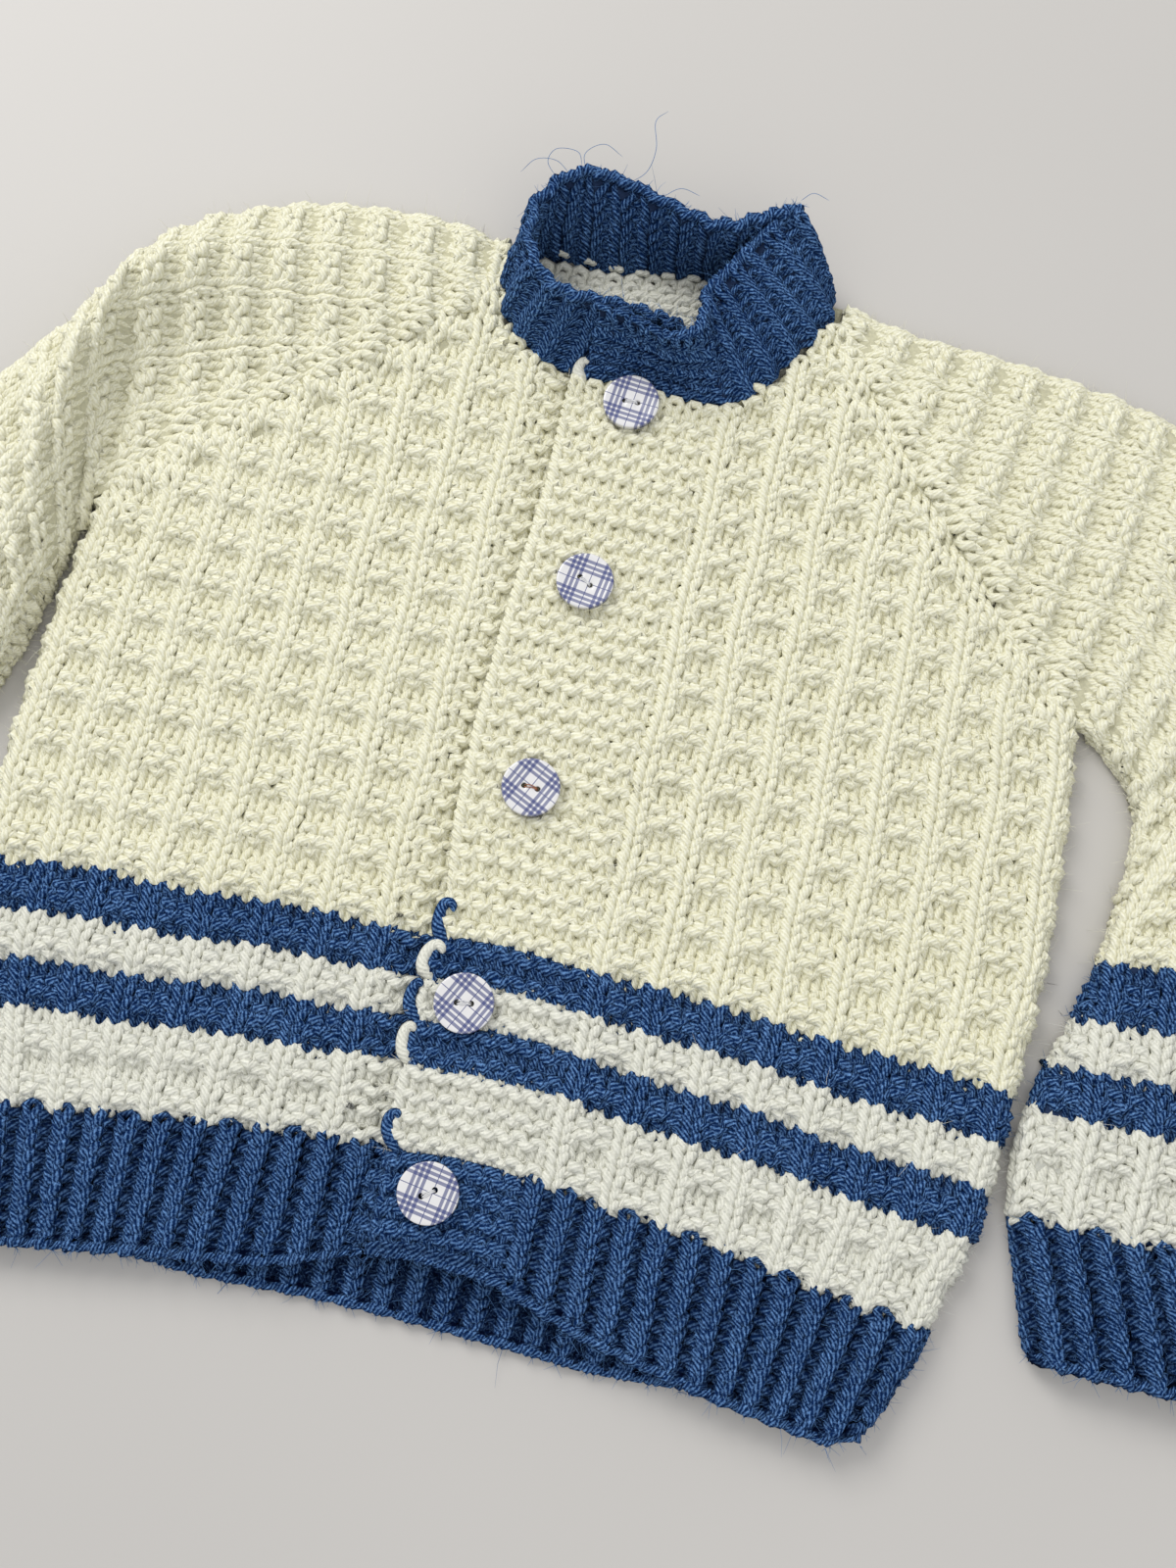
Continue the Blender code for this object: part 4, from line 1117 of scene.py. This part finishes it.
def hairs(name, slot, light, colour, count, seed, mean, stations):
    """Hairs from random places on the yarn, each a few rings of three points, bent to one side.

    Nine times as many grow where the yarn faces sideways, which is along the edges. Those on top lie
    down on the cloth. The faces of the first hair serve for all.
    """
    draw = np.random.default_rng(seed)
    roots, normal = (np.concatenate([root[k] for root in ROOTS if root[2] == colour]) for k in (0, 1))
    level, clear = 0.55, 1.2
    weight = np.where(normal[:, 2] < level, 9.0, 1.0) * (roots[:, 2] > clear)
    pick = draw.choice(len(roots), count, p=weight / weight.sum())
    start, normal = roots[pick], normal[pick]
    away = unit(normal + 0.75 * draw.normal(0, 1, (count, 3)))
    away[:, 2] = np.where(normal[:, 2] > level, 0.35 * np.abs(away[:, 2]) + 0.1, away[:, 2])
    bend = draw.normal(0, 0.5, (count, 3))
    length = np.clip(draw.gamma(4.0, mean / 4.0, count), 0.8, 7.0)[:, None]
    side = unit(np.cross(away, bend))
    up = np.cross(side, away)
    middles = [start + normal + length * (0.8 * away * t + 0.6 * bend * t**2) for t, _ in stations]
    path = np.stack(middles, axis=1)
    thick = np.array(stations)[:, 1]
    points = rings(path, up[:, None], side[:, None], thick, 3)
    points[:, 2] = np.maximum(points[:, 2], 0.15)
    _, faces, _ = tube(path[0], up[:1], side[:1], thick, 3)
    faces = (faces + 3 * len(stations) * np.arange(count)[:, None, None]).reshape(-1, 4)
    piece(name, slot, [fibre_material(name, light)], points, faces)


SHORT = ((0.0, 0.075), (1.0, 0.03))                # share of a hair's length, and its radius there
BENT = ((0.0, 0.06), (0.5, 0.05), (1.0, 0.02))
for name, slot, light, colour, short, bent in (
        ("fibres_white", "cream_knit", (0.86, 0.86, 0.80), WHITE, 3200, 500),
        ("fibres_blue", "blue_knit", (0.11, 0.24, 0.48), BLUE, 7600, 1100),
        ("fibres_cream", "cream_knit", (0.90, 0.88, 0.74), CREAM, 6800, 900)):
    hairs(name, slot, light, colour, short, 31 + colour, 1.7, SHORT)
    hairs(name + "_bent", slot, light, colour, bent, 41 + colour, 3.4, BENT)

LONG_FIBRES = [
    [(-31, 286, 22), (-34.5, 289.5, 23.5), (-33, 293.5, 24), (-27.5, 294.5, 23), (-25.5, 291, 22)],
    [(-24, 289.5, 22), (-25.5, 294.5, 23), (-21, 298, 23.5), (-15.5, 296, 22.5)],
    [(-28, 288, 22), (-32.5, 291, 22.5), (-38, 290.5, 22), (-41.5, 287, 20)],
    [(-13, 289, 21.5), (-8.5, 293.5, 22), (-7.5, 300.5, 22.5), (-9.5, 309, 21.5), (-7, 314, 20)],
    [(-3, 287, 22), (1.5, 290.5, 22.5), (7, 289.5, 22.5)],
    [(33, 294.5, 22), (36, 297.5, 22), (40.5, 297, 21)],
]
long_fibres = [strand(line, 0.07, sides=4, samples=8) for line in LONG_FIBRES]
piece("fibres_long", "blue_knit", [bpy.data.materials["fibres_blue"]], *joined(long_fibres, 0))


# Buttons: flat white plastic discs with two holes, printed with a blue and violet check, each sewn
# down the band with a few strands of thread from hole to hole.
BUTTONS = np.array([
    # x, y, the turn of the holes, the turn of the check, and its shift across and up
    (1.4, 233.2, 1, -5.5, -0.5, -0.4), (1, 182, -29, -8.4, -1.1, 0.4),
    (0.3, 126, -3, -25, 0, -0.4), (-2.8, 70, 8, -26.5, -0.9, -0.2),
    (0, 24.5, 36, -9, -1, -0.4),
])
BUTTON_RADIUS = 7.4
HOLE_RADIUS = 0.75
RIM = (6.6, 1.6)          # where the rim begins, measured from the middle, and the width of its slope
HOLE_REACH = 1.77         # from the button's middle to a hole's middle
DISH = 0.25               # how much the face sinks inside the rim
CHECK = 8.5               # from one group of printed lines to the next
LINE = 1.37               # from one broad printed line to the next
MAP = 20.0                # width of the square that the check's map covers
GREY_THREAD = (0.72, 0.72, 0.72)
BROWN_THREAD = (0.33, 0.13, 0.06)


def printed_check():
    """White plastic with printed lines: three broad ones a group, and one fine one between groups."""
    tree = Tree("button_plastic")
    own = tree.node("ShaderNodeUVMap", {"uv_map": "yarn"})
    tones = []
    for axis in (0, 1):
        across = tree.node("ShaderNodeSeparateXYZ", {}, {"Vector": own}, axis) * MAP - MAP / 2
        group = (across + CHECK * 3).math("MODULO", CHECK) - CHECK / 2
        line = ((group + LINE * 3.5).math("MODULO", LINE) - LINE / 2).math("ABSOLUTE")
        broad = line.math("LESS_THAN", 0.41) * group.math("ABSOLUTE").math("LESS_THAN", LINE * 1.5)
        fine = (group.math("ABSOLUTE") - CHECK / 2).math("ABSOLUTE").math("LESS_THAN", 0.11)
        tones.append(broad * 0.78 + fine * 0.9)
    printed = tree.mix((tones[0] + tones[1]).clamp() * 0.95, (0.70, 0.69, 0.68), (0.03, 0.045, 0.18))
    return tree.surface(Base_Color=printed, Roughness=0.33, Coat_Weight=0.35, Coat_Roughness=0.2)


def spun(degrees):
    """Turn about the upright, for points in rows."""
    c, s = np.cos(np.radians(degrees)), np.sin(np.radians(degrees))
    return np.array([(c, s, 0), (-s, c, 0), (0, 0, 1)])


def button_disc(centre, low, tall, turn, check_turn, shift):
    """Disc from two halves, each a fan of rays from its hole's middle to the rim or the middle line.

    A ray at angle t from a hole at distance a reaches the rim after -a cos t + sqrt(R^2 - a^2 sin^2 t)
    and the middle line after a / -cos t, whichever is less.
    """
    profile = np.array([
        # share of the way from the hole to the rim, height
        (0, 0), (0, tall - 0.25), (0.02, tall - 0.08), (0.06, tall - 0.02), (0.3, tall), (0.6, tall),
        (0.8, tall), (0.9, tall), (0.96, tall - 0.03), (1, tall - 0.15), (1, tall - 0.45), (1, 0.25),
        (0.5, 0), (0, 0),
    ])
    station = np.arange(len(profile))[:, None]
    corner = np.arctan2(BUTTON_RADIUS, -HOLE_REACH)
    angle = np.sort(np.append(np.linspace(0, 2 * np.pi, 73), (corner, 2 * np.pi - corner)))
    rim = -HOLE_REACH * np.cos(angle) + np.sqrt(BUTTON_RADIUS**2 - (HOLE_REACH * np.sin(angle)) ** 2)
    line = HOLE_REACH / np.maximum(-np.cos(angle), 1e-6) + 1e-7
    to_middle = line < rim - 1e-4
    out = HOLE_RADIUS + (np.minimum(rim, line) - HOLE_RADIUS) * profile[:, :1]
    flat = np.stack([HOLE_REACH + out * np.cos(angle), out * np.sin(angle)], axis=-1)
    from_middle = np.linalg.norm(flat, axis=-1)
    dish = DISH * ease((RIM[0] - from_middle) / RIM[1])
    z = profile[:, 1:] - dish * ((station > 1) & (station < 9))
    z = np.where(np.abs(from_middle - BUTTON_RADIUS) < 1e-6, z, np.maximum(z, 0.0))
    z = np.where(to_middle & (station > 7) & (station < 11), tall - dish, z)
    count = len(angle)
    rows, columns = np.meshgrid(np.arange(len(profile) - 1), np.arange(count - 1), indexing="ij")
    keep = (rows < 9) | (rows > 10) | ~to_middle[columns] | ~to_middle[columns + 1]
    corner = (rows * count + columns)[keep]
    around = np.stack([corner, corner + count, corner + count + 1, corner + 1], axis=-1)
    halves = [np.stack([flip * flat[..., 0], flat[..., 1], z], axis=-1).reshape(-1, 3) for flip in (1, -1)]
    points, faces = np.concatenate(halves), np.concatenate([around, around[:, ::-1] + z.size])
    _, first, index = np.unique(np.round(points, 4), axis=0, return_index=True, return_inverse=True)
    points, faces = points[first], index.reshape(-1)[faces]
    uv = ((points @ spun(turn - check_turn))[:, :2] + shift) / MAP + 0.5
    return points @ spun(turn) + (*centre, low), faces, uv[faces]


def thread(name, centre, low, turn, colour, seed):
    """Strands from hole to hole: each an arch, rising over the plastic between the holes."""
    draw = np.random.default_rng(seed)
    t = np.linspace(-1, 1, 15)
    radius, apart = 0.12, 0.3
    y, z = (np.tile(axis, (len(t), 1)) for axis in np.eye(3)[1:])
    strands = []
    for k in range(3):
        side = apart * (k - 1.0) + draw.normal(0, 0.08)
        height = radius - 1.3 * np.abs(t) ** 6
        line = np.stack([HOLE_REACH * t, side + radius * np.sin(3 * t + k), height], axis=-1)
        points, faces, uv = tube(line, y, z, np.full(len(t), radius), 6)
        strands.append((points @ spun(turn) + (*centre, low), faces[:, ::-1], uv))
    points, faces, _, _ = joined(strands, 0)
    piece(name, "cream_knit", [Tree(name).surface(Base_Color=colour, Roughness=0.7)], points, faces)


PLASTIC = printed_check()
for number, (x, y, turn, check_turn, across, up) in enumerate(BUTTONS, start=1):
    name = f"button_{number}"
    corner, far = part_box(name)
    low, tall = corner.z * 1000, (far.z - corner.z) * 1000
    points, faces, uv = button_disc((x, y), low, tall, turn, check_turn, (across, up))
    disc = piece(name + "_disc", "button_plastic", [PLASTIC], points, faces, uv)
    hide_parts(name)
    colour = BROWN_THREAD if number == 3 else GREY_THREAD
    thread(name + "_thread", (x, y), low + tall - 0.2, turn, colour, number)


# Camera and light: the cardigan seen from above and a little from the hem, in soft light from a
# window behind and to the left, with a pale room around it.
def camera():
    data = bpy.data.cameras.new("camera")
    data.sensor_width = 36.0
    data.lens = 38.25
    data.clip_start = 0.01
    made = bpy.data.objects.new("camera", data)
    made.location = (0.034758, -0.077646, 0.418995)
    made.rotation_euler = (np.radians(12.478), 0.0, np.radians(13.282))
    bpy.context.scene.collection.objects.link(made)
    bpy.context.scene.camera = made


def lamp(name, place, aim, size, power, colour):
    """A square soft light at a place, turned toward its aim; distances in metres."""
    data = bpy.data.lights.new(name, "AREA")
    data.shape = "SQUARE"
    data.size = size
    data.energy = power
    data.color = colour
    made = bpy.data.objects.new(name, data)
    made.location = place
    made.rotation_euler = (Vector(aim) - Vector(place)).to_track_quat("-Z", "Y").to_euler()
    bpy.context.scene.collection.objects.link(made)


camera()
bpy.context.scene.view_settings.view_transform = "Standard"
lamp("window", (-0.75, 0.85, 1.0), (0, 0, 0), 0.8, 15.2, (1.0, 0.99, 0.975))
lamp("room", (0.5, -0.45, 0.9), (0.1, -0.1, 0), 1.0, 2.6, (1.0, 0.985, 0.965))
world = bpy.data.worlds.new("room")
world.use_nodes = True
background = world.node_tree.nodes["Background"].inputs
background["Color"].default_value = (0.93, 0.95, 1.0, 1)
background["Strength"].default_value = 0.67
bpy.context.scene.world = world
